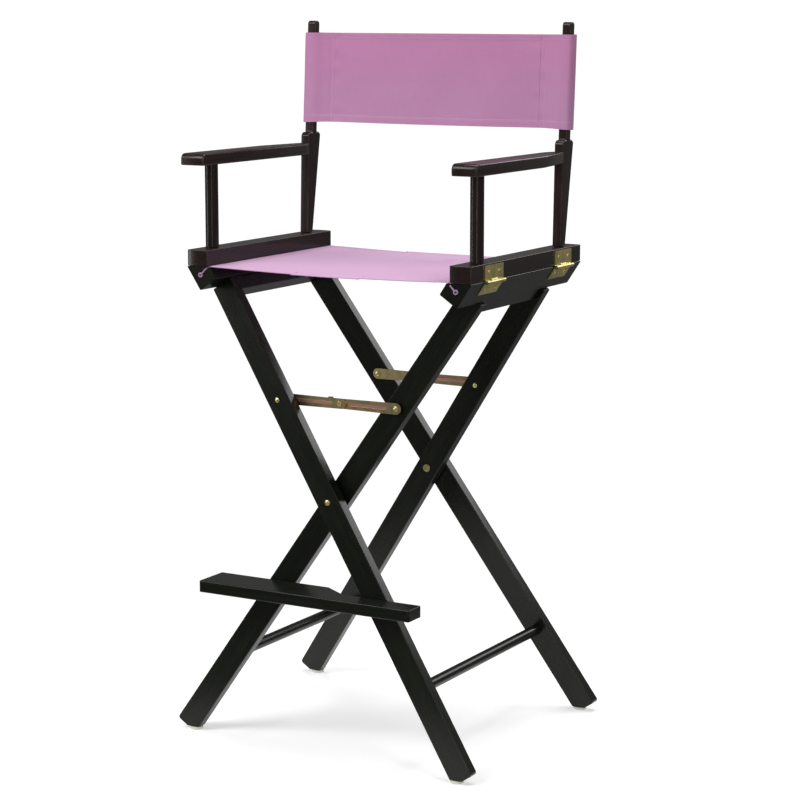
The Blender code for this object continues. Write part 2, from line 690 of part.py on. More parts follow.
def add_to_link(link, name, outline, y_from, y_to, position):
    tool = finish_object(name, prism(outline, lambda x, z: y_from, lambda x, z: y_to), None)
    tool.location = position
    boolean(link, tool, "UNION")


def make_brace_rivet(row):
    """The middle rivet: it is fixed to the left link and ends just short of the right one."""
    gap_face = leg_face(-1, row, BRACE_BOLT_REACH, LEG_DEPTH)
    near, far = link_offset(-1)
    z = leg_point(-1, 0, BRACE_BOLT_REACH)[1]
    head = near - GAP
    profile = [(0.3 * MM, 0), (0.3 * MM, BRACE_HEAD_RADIUS - 0.5 * MM), (head, BRACE_HEAD_RADIUS),
               (head, BRACE_SHAFT), (far, BRACE_SHAFT), (far, 0)]
    profile = [(-row * along, radius) for along, radius in profile]
    place = Vector((0, gap_face, z))
    rivet = turned_object("brace_rivet_" + ROW_NAME[row], profile, place, ZINC, segments=16)
    link = bpy.data.objects["brace_link_left_" + ROW_NAME[row]]
    hole = rod_profile(-8 * MM, 8 * MM, BRACE_SHAFT + SHAFT_CLEARANCE)
    tool = turned_object(link.name + "_rivet_hole", hole, Vector((0, link.location.y, z)), None, segments=16)
    boolean(link, tool, "DIFFERENCE")
    return rivet


# ---------------------------------------------------------------- footrest

def footrest_bolt_place(side):
    """X and Z of the footrest's bolt (outer leg) or peg (inner leg)."""
    z = FOOTREST_TOP - FOOTREST_THICKNESS / 2
    if side > 0:
        z = FOOTREST_TOP - FOOTREST_THICKNESS - GAP - FOOTREST_PEG_RADIUS
    x = leg_point(side, 0, (z - PIVOT_HEIGHT) / COS_LEG)[0]
    return x, z


def footrest_bolt_point(side):
    """Where the axis of the bolt or the peg crosses the footrest's rear edge."""
    x, z = footrest_bolt_place(side)
    return Vector((x, footrest_rear(side), z))


def footrest_rear(side):
    """Y of the footrest's rear edge where it passes in front of a leg."""
    low = FOOTREST_TOP - FOOTREST_THICKNESS - PIVOT_HEIGHT
    nearest = (low - LEG_WIDTH / 2 * SIN_LEG) / COS_LEG
    return leg_face(side, -1, nearest) - GAP


def make_footrest():
    """A board with a stepped rear edge, so that it touches both front legs."""
    front = SHIFT_Y - FOOTREST_FRONT
    outline = [(FOOTREST_LEFT, front), (FOOTREST_RIGHT, front), (FOOTREST_RIGHT, footrest_rear(-1)),
               (FOOTREST_STEP_END, footrest_rear(-1)), (FOOTREST_STEP_START, footrest_rear(1)),
               (FOOTREST_LEFT, footrest_rear(1))]
    outline = rounded(outline, [3 * MM, 3 * MM, 2 * MM, 0, 0, 2 * MM], 3)
    board = plan_prism("footrest", outline, FOOTREST_TOP - FOOTREST_THICKNESS, FOOTREST_TOP, WOOD)
    round_edges(board, 2 * MM, 3)

    pivot = footrest_bolt_point(-1)
    axis = footrest_axis()[0]
    through = leg_axes(-1, -1)[1]
    along = leg_coordinates(-1, pivot.x, pivot.z)[1]
    back_point = Vector((pivot.x, leg_face(-1, -1, along, LEG_DEPTH), pivot.z))
    back = (back_point - pivot).dot(through) / axis.dot(through)
    depth = 15 * MM
    head = 4.5 * MM
    seat = back + head * math.tan(axis.angle(through)) + GAP
    bolt = [(-depth, 0), (-depth, FOOTREST_BOLT_RADIUS), (seat, FOOTREST_BOLT_RADIUS)]
    bolt += dome(seat, 2.6 * MM, head)
    turned_object("footrest_bolt", bolt, pivot, BRASS, axis, 16)
    hole = rod_profile(-depth - GAP, back, FOOTREST_BOLT_RADIUS + SHAFT_CLEARANCE)
    tool = turned_object("footrest_hole", hole, pivot, None, axis, 16)
    boolean(board, tool, "DIFFERENCE")
    attach(board, joint_empty("footrest_joint", pivot))

    x, z = footrest_bolt_place(1)
    along = leg_coordinates(1, x, z)[1]
    tip = leg_face(1, -1, along) - 24 * MM
    end = leg_face(1, -1, along, LEG_DEPTH - 2 * MM)
    peg = rod_profile(tip, end, FOOTREST_PEG_RADIUS, 0.8 * MM)
    turned_object("footrest_peg", peg, Vector((x, 0, z)), ZINC, segments=16)


# ---------------------------------------------------------------- arm units

def arc_between(start, end, bow, steps):
    """Points from start to end on a shallow arc that stands bow proud, to the right of the way."""
    start, end = Vector(start), Vector(end)
    way = end - start
    normal = Vector((way.y, -way.x)).normalized()
    points = []
    for step in range(steps + 1):
        share = step / steps
        points.append(tuple(start + way * share + normal * bow * 4 * share * (1 - share)))
    return points


def make_arm_base(side):
    """The board that stands on a rail, with slightly bowed ends."""
    half = RAIL_HALF_LENGTH
    inner, outer = ARM_BASE_INNER, ARM_BASE_OUTER
    outline = arc_between((inner, -half), (outer, -half), ARM_BASE_BOW, 6)
    outline += arc_between((outer, half), (inner, half), ARM_BASE_BOW, 6)
    outline = [(side * x, y + SHIFT_Y) for x, y in outline]
    top = ARM_BASE_BOTTOM + ARM_BASE_HEIGHT
    base = plan_prism("arm_base_" + SIDE_NAME[side], outline, ARM_BASE_BOTTOM, top, WOOD)
    round_edges(base, 1.0 * MM)


def make_front_post(side):
    bottom = ARM_BASE_BOTTOM + ARM_BASE_HEIGHT + GAP
    place = Vector((side * FRONT_POST_X, FRONT_POST_Y + SHIFT_Y, 0))
    profile = rod_profile(bottom, ARMREST_BOTTOM - GAP, FRONT_POST_RADIUS, 0.4 * MM)
    turned_object("front_post_" + SIDE_NAME[side], profile, place, WOOD, Vector((0, 0, 1)))


def post_front_at(z):
    """Y of a back post's front face below its shoulder."""
    base = ARM_BASE_BOTTOM + ARM_BASE_HEIGHT
    share = (z - base) / (BACK_POST_SHOULDER - base)
    return BACK_POST_FRONT + BACK_POST_LEAN_AT_SHOULDER * share


def make_armrest(side):
    """A flat armrest that narrows behind to the width of the back post."""
    rear = post_front_at(ARMREST_BOTTOM) - GAP
    half_end = BACK_POST_WIDTH / 2 + 2 * MM
    front = ARMREST_FRONT
    nose = ARMREST_NOSE
    outline = [(ARMREST_INNER, front), (ARMREST_OUTER, front), (ARMREST_OUTER, 38 * MM),
               (BACK_POST_X + half_end, rear), (BACK_POST_X - half_end, rear), (ARMREST_INNER, 118 * MM)]
    outline = rounded(outline, [nose, nose, 12 * MM, 0, 0, 5 * MM], 3)
    outline = [(side * x, y + SHIFT_Y) for x, y in outline]
    name = "armrest_" + SIDE_NAME[side]
    rest = plan_prism(name, outline, ARMREST_BOTTOM, ARMREST_BOTTOM + ARMREST_THICKNESS, WOOD)
    round_edges(rest, 4 * MM)


def neck_centre(z):
    return NECK_BASE_Y + NECK_LEAN * (z - BACK_POST_SHOULDER)


def make_back_post(side):
    """A tapered post with a chamfered shoulder and a narrow leaning neck for the back canvas."""
    bottom = ARM_BASE_BOTTOM + ARM_BASE_HEIGHT + GAP
    shoulder = BACK_POST_SHOULDER
    chamfer = 5 * MM
    front = BACK_POST_FRONT + BACK_POST_LEAN_AT_SHOULDER
    rear = front + BACK_POST_SHOULDER_DEPTH
    neck = NECK_DEPTH / 2
    tip = OVERALL_HEIGHT
    outline = [(BACK_POST_FRONT, bottom), (BACK_POST_FRONT + BACK_POST_BASE_DEPTH, bottom),
               (rear, shoulder - chamfer), (rear - chamfer, shoulder),
               (neck_centre(shoulder) + neck, shoulder),
               (neck_centre(tip) + neck, tip), (neck_centre(tip) - neck, tip),
               (neck_centre(shoulder) - neck, shoulder), (front + chamfer, shoulder),
               (front, shoulder - chamfer)]
    tip_rounding = neck * 0.8
    outline = rounded(outline, [0, 0, 0, 0, 0, tip_rounding, tip_rounding, 0, 0, 0], 5)
    mesh_data = bmesh.new()
    half = BACK_POST_WIDTH / 2
    sides = []
    for x in (-half, half):
        ring = [mesh_data.verts.new((side * BACK_POST_X + x, y + SHIFT_Y, z)) for y, z in outline]
        sides.append(ring)
        mesh_data.faces.new(ring)
    for index in range(len(outline)):
        other = (index + 1) % len(outline)
        mesh_data.faces.new((sides[0][index], sides[0][other], sides[1][other], sides[1][index]))
    post = finish_object("back_post_" + SIDE_NAME[side], mesh_data, WOOD)
    round_edges(post, 2 * MM)


# ---------------------------------------------------------------- arm hinges

def knuckle_spans(centre, upper):
    """Y ranges of the knuckles of one leaf: the lower leaf has the odd ones."""
    pitch = LEAF_LENGTH / KNUCKLE_COUNT
    spans = []
    for index in range(1 if upper else 0, KNUCKLE_COUNT, 2):
        start = centre - LEAF_LENGTH / 2 + index * pitch
        spans.append((start + GAP / 2, start + pitch - GAP / 2))
    return spans


def make_leaf(side, row_name, upper):
    """A hinge leaf: a plate against the wood, joined to its rolled knuckles."""
    centre = HINGE_CENTRES[row_name] + SHIFT_Y
    if upper:
        face = ARM_BASE_OUTER + GAP
        bottom = ARM_BASE_BOTTOM
        top = bottom + LEAF_HEIGHT - 1.5 * MM
        plate = [(face, bottom), (face + LEAF_THICKNESS, bottom), (face + LEAF_THICKNESS, top), (face, top)]
        web = [(face, bottom), (PIN_X - 1.2 * MM, PIN_Z + 1.7 * MM), (PIN_X, PIN_Z + 2.6 * MM),
               (face + LEAF_THICKNESS * 0.6, bottom + 3 * MM), (face, bottom + 3 * MM)]
    else:
        pin_along = leg_coordinates(1, PIN_X, PIN_Z)[1]
        inner, outer = RAIL_OUTER + GAP, RAIL_OUTER + GAP + LEAF_THICKNESS
        low = pin_along - LEAF_HEIGHT
        high = pin_along - KNUCKLE_RADIUS * 0.9
        plate = [leg_point(1, n, e) for n, e in ((inner, low), (outer, low), (outer, high), (inner, high))]
        web = [leg_point(1, n, e) for n, e in ((inner, high - 2 * MM), (outer, high - 2 * MM),
                                               (outer + 0.8 * MM, pin_along - 2 * MM),
                                               (outer, pin_along - 0.6 * MM),
                                               (inner + 0.4 * MM, pin_along - 0.6 * MM))]
    level = "upper" if upper else "lower"
    name = "hinge_%s_%s_%s" % (level, SIDE_NAME[side], row_name)
    half = LEAF_LENGTH / 2
    plate = [(side * x, z) for x, z in plate]
    web = [(side * x, z) for x, z in web]
    leaf = straight_prism(name, plate, centre - half, centre + half, ZINC)
    for index, (start, end) in enumerate(knuckle_spans(centre, upper)):
        web_tool = straight_prism("%s_web_%d" % (name, index), web, start, end, None)
        boolean(leaf, web_tool, "UNION")
        barrel = turned_object("%s_knuckle_%d" % (name, index), rod_profile(start, end, KNUCKLE_RADIUS),
                               Vector((side * PIN_X, 0, PIN_Z)), None, segments=12)
        boolean(leaf, barrel, "UNION")
    hole = rod_profile(centre - half - 1 * MM, centre + half + 1 * MM, PIN_RADIUS + GAP)
    tool = turned_object(name + "_hole", hole, Vector((side * PIN_X, 0, PIN_Z)), None, segments=12)
    boolean(leaf, tool, "DIFFERENCE")


def make_hinge(side, row_name):
    make_leaf(side, row_name, False)
    make_leaf(side, row_name, True)
    centre = HINGE_CENTRES[row_name] + SHIFT_Y
    half = LEAF_LENGTH / 2
    pin = rod_profile(centre - half + 0.2 * MM, centre + half - 0.2 * MM, PIN_RADIUS, 0.3 * MM)
    name = "hinge_pin_%s_%s" % (SIDE_NAME[side], row_name)
    turned_object(name, pin, Vector((side * PIN_X, 0, PIN_Z)), ZINC, segments=12)


# ---------------------------------------------------------------- canvas

def make_dowel(side):
    x, z = groove_centre(side)
    reach = SEAT_HALF_LENGTH - 1 * MM
    profile = rod_profile(SHIFT_Y - reach, SHIFT_Y + reach, DOWEL_RADIUS, 0.5 * MM)
    turned_object("dowel_" + SIDE_NAME[side], profile, Vector((x, 0, z)), WOOD, segments=16)


def make_seat_canvas(side):
    """Half of the seat cloth, from the middle over the rail's edge and round the dowel."""
    bore_x, bore_z = groove_centre(1)
    loop_radius = DOWEL_RADIUS + CANVAS_CLEARANCE + CANVAS_THICKNESS / 2
    rise = RAIL_TOP - bore_z
    mouth_x = bore_x - rise
    over = RAIL_TOP + CANVAS_CLEARANCE + CANVAS_THICKNESS / 2
    line = []
    edge = mouth_x - 5 * MM
    for step in range(9):
        share = step / 8
        x = edge * share + GAP / 2 * (1 - share)
        line.append((x, over - 0.4 * MM - SEAT_SAG * (1 - share ** 2)))
    line += [(mouth_x - 2.6 * MM, over), (mouth_x - 0.9 * MM, RAIL_TOP + 0.55 * MM)]
    line += [(mouth_x + 0.7 * MM, RAIL_TOP - 0.7 * MM)]
    line += arc((bore_x, bore_z), loop_radius, 135, -205, 16)
    outline = [(side * x, z) for x, z in ribbon(line, CANVAS_THICKNESS)]
    name = "seat_canvas_" + SIDE_NAME[side]
    straight_prism(name, outline, SHIFT_Y - SEAT_HALF_LENGTH, SHIFT_Y + SEAT_HALF_LENGTH, CANVAS)


def make_back_canvas(side):
    """Half of the back cloth, sewn into a sleeve round the post's neck; it leans with the neck."""
    half_depth = NECK_DEPTH / 2 + CANVAS_CLEARANCE + CANVAS_THICKNESS / 2
    inner_x = BACK_POST_X - BACK_POST_WIDTH / 2 - CANVAS_CLEARANCE - CANVAS_THICKNESS
    outer_x = BACK_OUTER_END - CANVAS_THICKNESS / 2
    ply = CANVAS_THICKNESS + CANVAS_CLEARANCE
    middle = neck_centre(BACK_BOTTOM) + SHIFT_Y
    line = []
    for step in range(7):
        share = step / 6
        x = SLEEVE_SEAM * share + GAP / 2 * (1 - share)
        line.append((x, middle + BACK_BOW * (1 - share ** 2) - ply / 2))
    line += [(inner_x, middle - half_depth), (outer_x - 5 * MM, middle - half_depth),
             (outer_x - 1.4 * MM, middle - half_depth + 1.6 * MM), (outer_x, middle - half_depth + 4.5 * MM),
             (outer_x, middle + half_depth - 4.5 * MM), (outer_x - 1.4 * MM, middle + half_depth - 1.6 * MM),
             (outer_x - 5 * MM, middle + half_depth), (inner_x, middle + half_depth),
             (SLEEVE_SEAM, middle + ply / 2 + 0.1 * MM)]
    outline = [(side * x, y) for x, y in ribbon(line, CANVAS_THICKNESS)]
    name = "back_canvas_" + SIDE_NAME[side]
    plan_prism(name, outline, BACK_BOTTOM, BACK_TOP, CANVAS, NECK_LEAN, BACK_BOTTOM)


# ---------------------------------------------------------------- assembly

def make_frame(side):
    for row in (-1, 1):
        make_leg(side, row)
        make_glide(side, row)
        make_brace_bolt(side, row)
        make_link(side, row)
    make_rail(side)
    make_spacer(side)
    make_stretcher(side)
    make_dowel(side)
    make_seat_canvas(side)


def make_arm_unit(side):
    make_arm_base(side)
    make_front_post(side)
    make_armrest(side)
    make_back_post(side)
    make_back_canvas(side)
    for row_name in HINGE_CENTRES:
        make_hinge(side, row_name)


def attach_moving_pieces():
    """Give each moving group an empty on its joint axis."""
    outer = joint_empty("outer_frame_joint", Vector((0, SHIFT_Y, PIVOT_HEIGHT)))
    for row in ("front", "rear"):
        for kind in ("leg_outer_", "glide_outer_", "brace_bolt_outer_"):
            attach(bpy.data.objects[kind + row], outer)
        attach(bpy.data.objects["hinge_lower_left_" + row], outer)
    for name in ("seat_rail_left", "spacer_left", "stretcher_outer", "dowel_left", "seat_canvas_left"):
        attach(bpy.data.objects[name], outer)
    for side, name in SIDE_NAME.items():
        arm = joint_empty("arm_%s_joint" % name, Vector((side * PIN_X, SHIFT_Y, PIN_Z)))
        for kind in ("arm_base_", "front_post_", "armrest_", "back_post_", "back_canvas_"):
            attach(bpy.data.objects[kind + name], arm)
        for row in ("front", "rear"):
            attach(bpy.data.objects["hinge_upper_%s_%s" % (name, row)], arm)
            attach(bpy.data.objects["hinge_pin_%s_%s" % (name, row)], arm)


def main():
    clear_scene()
    for side in (-1, 1):
        make_frame(side)
        make_arm_unit(side)
    for row in (-1, 1):
        make_pivot(row)
        make_brace_rivet(row)
    make_footrest()
    attach_moving_pieces()


main()
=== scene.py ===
"""The finished look of a tall folding director chair: lacquered boards, canvas and plated fittings.

Every size that isn't named here is read from the frame, so each piece sits where its node does.
"""

import json
import logging
import math
from dataclasses import dataclass
from enum import Enum
from typing import Callable, Iterable, Optional, Sequence, Union

import bmesh
import bpy
import numpy as np
from mathutils import Matrix, Vector


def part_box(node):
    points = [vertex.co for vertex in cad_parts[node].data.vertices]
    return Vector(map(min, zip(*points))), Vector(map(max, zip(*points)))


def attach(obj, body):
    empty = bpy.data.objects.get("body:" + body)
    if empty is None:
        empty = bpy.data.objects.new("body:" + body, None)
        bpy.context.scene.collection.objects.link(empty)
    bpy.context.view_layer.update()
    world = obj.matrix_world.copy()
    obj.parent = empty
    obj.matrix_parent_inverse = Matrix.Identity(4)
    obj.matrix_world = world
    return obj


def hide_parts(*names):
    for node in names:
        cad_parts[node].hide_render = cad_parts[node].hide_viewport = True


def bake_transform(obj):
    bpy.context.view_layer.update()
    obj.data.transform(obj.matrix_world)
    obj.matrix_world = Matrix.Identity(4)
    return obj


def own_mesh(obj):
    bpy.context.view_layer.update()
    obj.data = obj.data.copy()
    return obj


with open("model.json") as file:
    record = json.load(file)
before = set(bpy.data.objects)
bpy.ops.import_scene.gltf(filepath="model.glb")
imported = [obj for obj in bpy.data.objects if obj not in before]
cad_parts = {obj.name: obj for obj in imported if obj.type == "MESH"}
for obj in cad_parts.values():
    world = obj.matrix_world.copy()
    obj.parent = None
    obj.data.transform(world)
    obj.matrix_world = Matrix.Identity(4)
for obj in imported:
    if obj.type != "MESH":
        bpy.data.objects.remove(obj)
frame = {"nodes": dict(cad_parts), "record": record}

MM = 0.001
log = logging.getLogger("director_chair")

LEG_SLOPE = math.radians(56.4)

Colour = tuple[float, float, float]
Number = Union[float, "Wire"]


class Side(Enum):
    """The two sides of the chair, by the sign of X."""

    LEFT = -1
    RIGHT = 1

    @property
    def word(self) -> str:
        """The side's name in the frame's node names."""
        return self.name.lower()

    @property
    def arm(self) -> str:
        """The body that this side's arm unit rides on."""
        return "arm_" + self.word

    @property
    def frame(self) -> str:
        """The body of the crossed frame that carries this side's seat rail."""
        return "outer_frame" if self is Side.LEFT else "inner_frame"


class Row(Enum):
    """The front and the rear legs, by the sign of Y."""

    FRONT = -1
    REAR = 1

    @property
    def word(self) -> str:
        """The row's name in the frame's node names."""
        return self.name.lower()


class Grain(Enum):
    """How a board's grain lies: the turn that brings it on to the X axis."""

    ALONG_X = (0.0, 0.0, 0.0)
    ALONG_Y = (0.0, 0.0, math.radians(-90))
    ALONG_Z = (0.0, math.radians(90), 0.0)
    OUTER_LEG = (0.0, -LEG_SLOPE, 0.0)
    INNER_LEG = (0.0, LEG_SLOPE, 0.0)


# ---------------------------------------------------------------- shader building

class Wire:
    """A shader socket that takes part in arithmetic."""

    def __init__(self, shader: "Shader", socket: bpy.types.NodeSocket) -> None:
        """Keep the socket and the shader that makes the nodes."""
        self.shader = shader
        self.socket = socket

    def _math(self, operation: str, *values: Number) -> "Wire":
        """Add one Math node.

        Args:
            operation: the node's operation.
            values: its inputs, in order.

        Returns:
            The node's result.
        """
        inputs = dict(enumerate(values))
        return self.shader.node("ShaderNodeMath", {"operation": operation}, inputs)

    def __add__(self, other: Number) -> "Wire":
        """self + other."""
        return self._math("ADD", self, other)

    def __sub__(self, other: Number) -> "Wire":
        """self - other."""
        return self._math("SUBTRACT", self, other)

    def __rsub__(self, other: Number) -> "Wire":
        """other - self."""
        return self._math("SUBTRACT", other, self)

    def __mul__(self, other: Number) -> "Wire":
        """self * other."""
        return self._math("MULTIPLY", self, other)

    __radd__ = __add__

    def sine(self) -> "Wire":
        """The sine of the value."""
        return self._math("SINE", self)

    def size(self) -> "Wire":
        """The value without its sign."""
        return self._math("ABSOLUTE", self)

    def power(self, exponent: float) -> "Wire":
        """The value to a power."""
        return self._math("POWER", self, exponent)

    def step(self, low: float, high: float) -> "Wire":
        """A smooth rise from 0 at low to 1 at high.

        Args:
            low: where the rise starts.
            high: where it ends; below low, the step falls.

        Returns:
            The mask.
        """
        settings = {"interpolation_type": "SMOOTHSTEP"}
        if low < high:
            return self.shader.node("ShaderNodeMapRange", settings, {0: self, 1: low, 2: high})
        return self.shader.node("ShaderNodeMapRange", settings, {0: self, 1: high, 2: low, 3: 1.0, 4: 0.0})


class Shader:
    """One material with a Principled shader, built node by node."""

    def __init__(self, name: str, **constants: float) -> None:
        """Start the material.

        Args:
            name: the material's name.
            constants: values of the shader's own sockets, with _ for a space.
        """
        self.material = bpy.data.materials.new(name)
        self.material.use_nodes = True
        self.tree = self.material.node_tree
        self.principled = self.tree.nodes["Principled BSDF"]
        for key, value in constants.items():
            self.principled.inputs[key.replace("_", " ").title().replace("Ior", "IOR")].default_value = value

    def node(self, kind: str, settings: dict, inputs: dict, output: Union[int, str] = 0) -> Wire:
        """Add a node.

        Args:
            kind: the node's type.
            settings: its properties; stops are a ramp's positions and colours.
            inputs: socket name or number to a value or a wire.
            output: the output that is wanted.

        Returns:
            That output.
        """
        made = self.tree.nodes.new(kind)
        for key, value in settings.items():
            if key == "stops":
                ramp = made.color_ramp
                while len(ramp.elements) < len(value):
                    ramp.elements.new(1.0)
                for element, (position, colour) in zip(ramp.elements, value):
                    element.position = position
                    element.color = (*colour, 1.0)
            else:
                setattr(made, key, value)
        for key, value in inputs.items():
            self.feed(made.inputs[key], value)
        return Wire(self, made.outputs[output])

    def feed(self, socket: bpy.types.NodeSocket, value: Union[Number, Sequence[float]]) -> None:
        """Link a wire to a socket, or set its value."""
        if isinstance(value, Wire):
            self.tree.links.new(value.socket, socket)
        elif isinstance(value, tuple) and len(value) == 3 and socket.type == "RGBA":
            socket.default_value = (*value, 1.0)
        else:
            socket.default_value = value

    def output(self, name: str, value: Wire) -> None:
        """Feed one of the Principled shader's sockets."""
        self.feed(self.principled.inputs[name], value)

    def mix(self, factor: Number, low: Union[Colour, Wire], high: Union[Colour, Wire]) -> Wire:
        """Mix two colours.

        Args:
            factor: 0 for low and 1 for high.
            low: a colour.
            high: a colour.

        Returns:
            The mixed colour.
        """
        settings = {"data_type": "RGBA", "clamp_factor": True}
        return self.node("ShaderNodeMix", settings, {0: factor, 6: low, 7: high}, 2)

    def place(self, turn: Sequence[float] = (0, 0, 0), stretch: Sequence[float] = (1, 1, 1),
              uv: bool = False) -> Wire:
        """The piece's own coordinates, in metres.

        Args:
            turn: rotation before the stretch.
            stretch: scale along each turned axis.
            uv: read the piece's UV map.

        Returns:
            The vector.
        """
        source = self.node("ShaderNodeTexCoord", {}, {}, "UV" if uv else "Object")
        turned = self.node("ShaderNodeMapping", {}, {"Vector": source, "Rotation": tuple(turn)})
        return self.node("ShaderNodeMapping", {}, {"Vector": turned, "Scale": tuple(stretch)})

    def parts(self, vector: Wire) -> tuple[Wire, Wire, Wire]:
        """The three numbers of a vector."""
        made = self.tree.nodes.new("ShaderNodeSeparateXYZ")
        self.feed(made.inputs[0], vector)
        return tuple(Wire(self, made.outputs[index]) for index in range(3))

    def noise(self, vector: Wire, scale: float, detail: float = 3.0, roughness: float = 0.5) -> Wire:
        """A noise pattern from 0 to 1."""
        return self.node("ShaderNodeTexNoise", {}, {"Vector": vector, "Scale": scale, "Detail": detail,
                                                    "Roughness": roughness})

    def bump(self, height: Wire, distance: float, strength: float = 1.0) -> None:
        """Feed the shader's normal from a height."""
        made = self.node("ShaderNodeBump", {}, {"Height": height, "Distance": distance,
                                                "Strength": strength})
        self.output("Normal", made)


# ---------------------------------------------------------------- finishes

@dataclass(frozen=True)
class Lacquer:
    """Black lacquer over open-grained wood, with a painted brown sheen along its edges."""

    name: str = "black_lacquer"
    deep: Colour = (0.0030, 0.0042, 0.0020)
    streak: Colour = (0.0075, 0.0088, 0.0048)
    # painted highlight: the lighter brown sheen along the edges
    edge_sheen_colour: Colour = (0.034, 0.030, 0.019)
    pore_length: float = 9.0
    pore_width: float = 420.0
    ring_length: float = 3.0
    ring_width: float = 60.0
    coat: float = 0.15
    coat_roughness: float = 0.12
    bending: float = 1.28
    relief: float = 0.12 * MM

    def material(self, grain: Grain) -> bpy.types.Material:
        """Build the lacquer for boards whose grain lies one way.

        Args:
            grain: the direction of the grain.

        Returns:
            The material.
        """
        shader = Shader(self.name + "_" + grain.name.lower(), roughness=0.3, ior=self.bending,
                        coat_roughness=self.coat_roughness, coat_weight=self.coat)
        along = (self.pore_length, self.pore_width, self.pore_width)
        pores = shader.noise(shader.place(grain.value, along), 1.0, 4.0, 0.62)
        across = (self.ring_length, self.ring_width, self.ring_width)
        rings = shader.noise(shader.place(grain.value, across), 1.0, 2.0)
        cloudy = shader.noise(shader.place(), 14.0, 2.0)
        narrow_edges = shader.node("ShaderNodeAttribute", {"attribute_name": "edge"}, {}, "Fac")
        streaks = pores.step(0.42, 0.72) * 0.6 + rings.step(0.35, 0.75) * 0.5
        base = shader.mix(streaks, self.deep, self.streak)
        # painted highlight: a lighter brown sheen on the narrow faces along the edges, broken up by noise
        edge_sheen_mask = narrow_edges * cloudy.step(0.3, 0.75)
        shader.output("Base Color", shader.mix(edge_sheen_mask * 0.75, base, self.edge_sheen_colour))
        rough = 0.19 + pores * 0.10 + cloudy * 0.09 - edge_sheen_mask * 0.04
        shader.output("Roughness", rough)
        shader.bump(pores * 0.7 + rings * 0.3, self.relief, 0.35)
        return shader.material


@dataclass(frozen=True)
class Canvas:
    """Plain-woven cotton duck: each thread passes over one and under the next."""

    name: str
    lit: Colour
    shaded: Colour
    # painted light: the colour below the given heights, darker on the seat's sides below its top and
    # lighter, greyer low on the back
    painted_low_colour: Colour
    painted_from_height: float
    painted_to_height: float
    thread: float = 0.95 * MM
    relief: float = 0.22 * MM
    sheen: float = 0.12
    sheen_tint: Colour = (0.95, 0.80, 0.95)

    def material(self) -> bpy.types.Material:
        """Build the cloth from the piece's UV map, which is in metres.

        Returns:
            The material.
        """
        shader = Shader(self.name, roughness=0.9, sheen_weight=self.sheen, sheen_roughness=0.4, ior=1.4)
        shader.principled.inputs["Sheen Tint"].default_value = (*self.sheen_tint, 1.0)
        u, v, _ = shader.parts(shader.place(uv=True))
        turn = math.pi / self.thread
        slub = shader.noise(shader.place(stretch=(30, 900, 1), uv=True), 1.0, 2.0)
        weft = shader.noise(shader.place(stretch=(900, 30, 1), uv=True), 1.0, 2.0)
        across = (u * turn).sine()
        along = (v * turn).sine()
        weave = across * along
        crowns = weave.size().power(0.6)
        mottle = shader.noise(shader.place(), 9.0, 3.0)
        # partly random thread tone, partly painted light: a painted highlight on the thread crowns and
        # painted shade in the weave's hollows
        tone_and_weave_shade = 0.18 + weave * 0.16 + (slub + weft) * 0.3 + mottle * 0.25 - (1 - crowns) * 0.18
        _, _, height = shader.parts(shader.place())
        # painted light: below the given heights the lit colour shifts to a second colour, in noisy patches
        painted_low_mask = height.step(self.painted_from_height, self.painted_to_height) * (0.55 + mottle * 0.5)
        lit = shader.mix(painted_low_mask, self.lit, self.painted_low_colour)
        shader.output("Base Color", shader.mix(tone_and_weave_shade, self.shaded, lit))
        shader.output("Roughness", 0.82 + (1 - crowns) * 0.14)
        shader.bump(crowns * 0.7 + weave * 0.3 + slub * 0.25, self.relief, 0.55)
        return shader.material


@dataclass(frozen=True)
class Plating:
    """Yellow passivated zinc, which clouds from gold to olive and rose."""

    name: str = "yellow_zinc_plate"
    gold: Colour = (0.86, 0.68, 0.30)
    olive: Colour = (0.50, 0.54, 0.20)
    rose: Colour = (0.72, 0.34, 0.25)
    ribbed: bool = False
    roughness: float = 0.3
    rib_rose: Colour = (0.95, 0.52, 0.43)
    relief: float = 0.04 * MM

    def material(self) -> bpy.types.Material:
        """Build the plating; on a ribbed piece the pressed ribs are rose.

        Returns:
            The material.
        """
        shader = Shader(self.name, metallic=1.0, roughness=self.roughness)
        clouds = shader.noise(shader.place(), 46.0, 3.0, 0.6)
        drift = shader.noise(shader.place(), 23.0, 2.0)
        colour = shader.mix(clouds.step(0.40, 0.66), self.gold, self.olive)
        colour = shader.mix(drift.step(0.54, 0.78) * 0.6, colour, self.rose)
        if self.ribbed:
            on_rib = shader.node("ShaderNodeAttribute", {"attribute_name": "rib"}, {}, "Fac")
            colour = shader.mix(on_rib * (0.72 + clouds * 0.25), colour, self.rib_rose)
        scratches = shader.noise(shader.place(stretch=(60, 900, 900)), 1.0, 4.0, 0.7)
        shader.output("Base Color", colour)
        shader.output("Roughness", self.roughness - 0.06 + clouds * 0.14 + scratches * 0.08)
        shader.bump(scratches * 0.5 + clouds * 0.5, self.relief, 0.4)
        return shader.material


@dataclass(frozen=True)
class Moulding:
    """Matte moulded plastic, darker in blotches just above the floor."""

    body_colour: Colour = (0.60, 0.60, 0.53)
    low_blotch_colour: Colour = (0.36, 0.34, 0.29)
    blotch_bottom: float = 0.2 * MM
    blotch_top: float = 2.2 * MM
    relief: float = 0.05 * MM

    def material(self) -> bpy.types.Material:
        """Build the plastic.

        Returns:
            The material.
        """
        shader = Shader("pale_moulding", roughness=0.5)
        _, _, height = shader.parts(shader.place())
        blotches = shader.noise(shader.place(), 260.0, 4.0, 0.65)
        # darker in blotches within the lowest two millimetres
        low = height.step(self.blotch_top, self.blotch_bottom) * blotches.step(0.35, 0.7)
        shader.output("Base Color", shader.mix(low * 0.7, self.body_colour, self.low_blotch_colour))
        shader.output("Roughness", 0.42 + blotches * 0.2)
        shader.bump(blotches, self.relief, 0.4)
        return shader.material


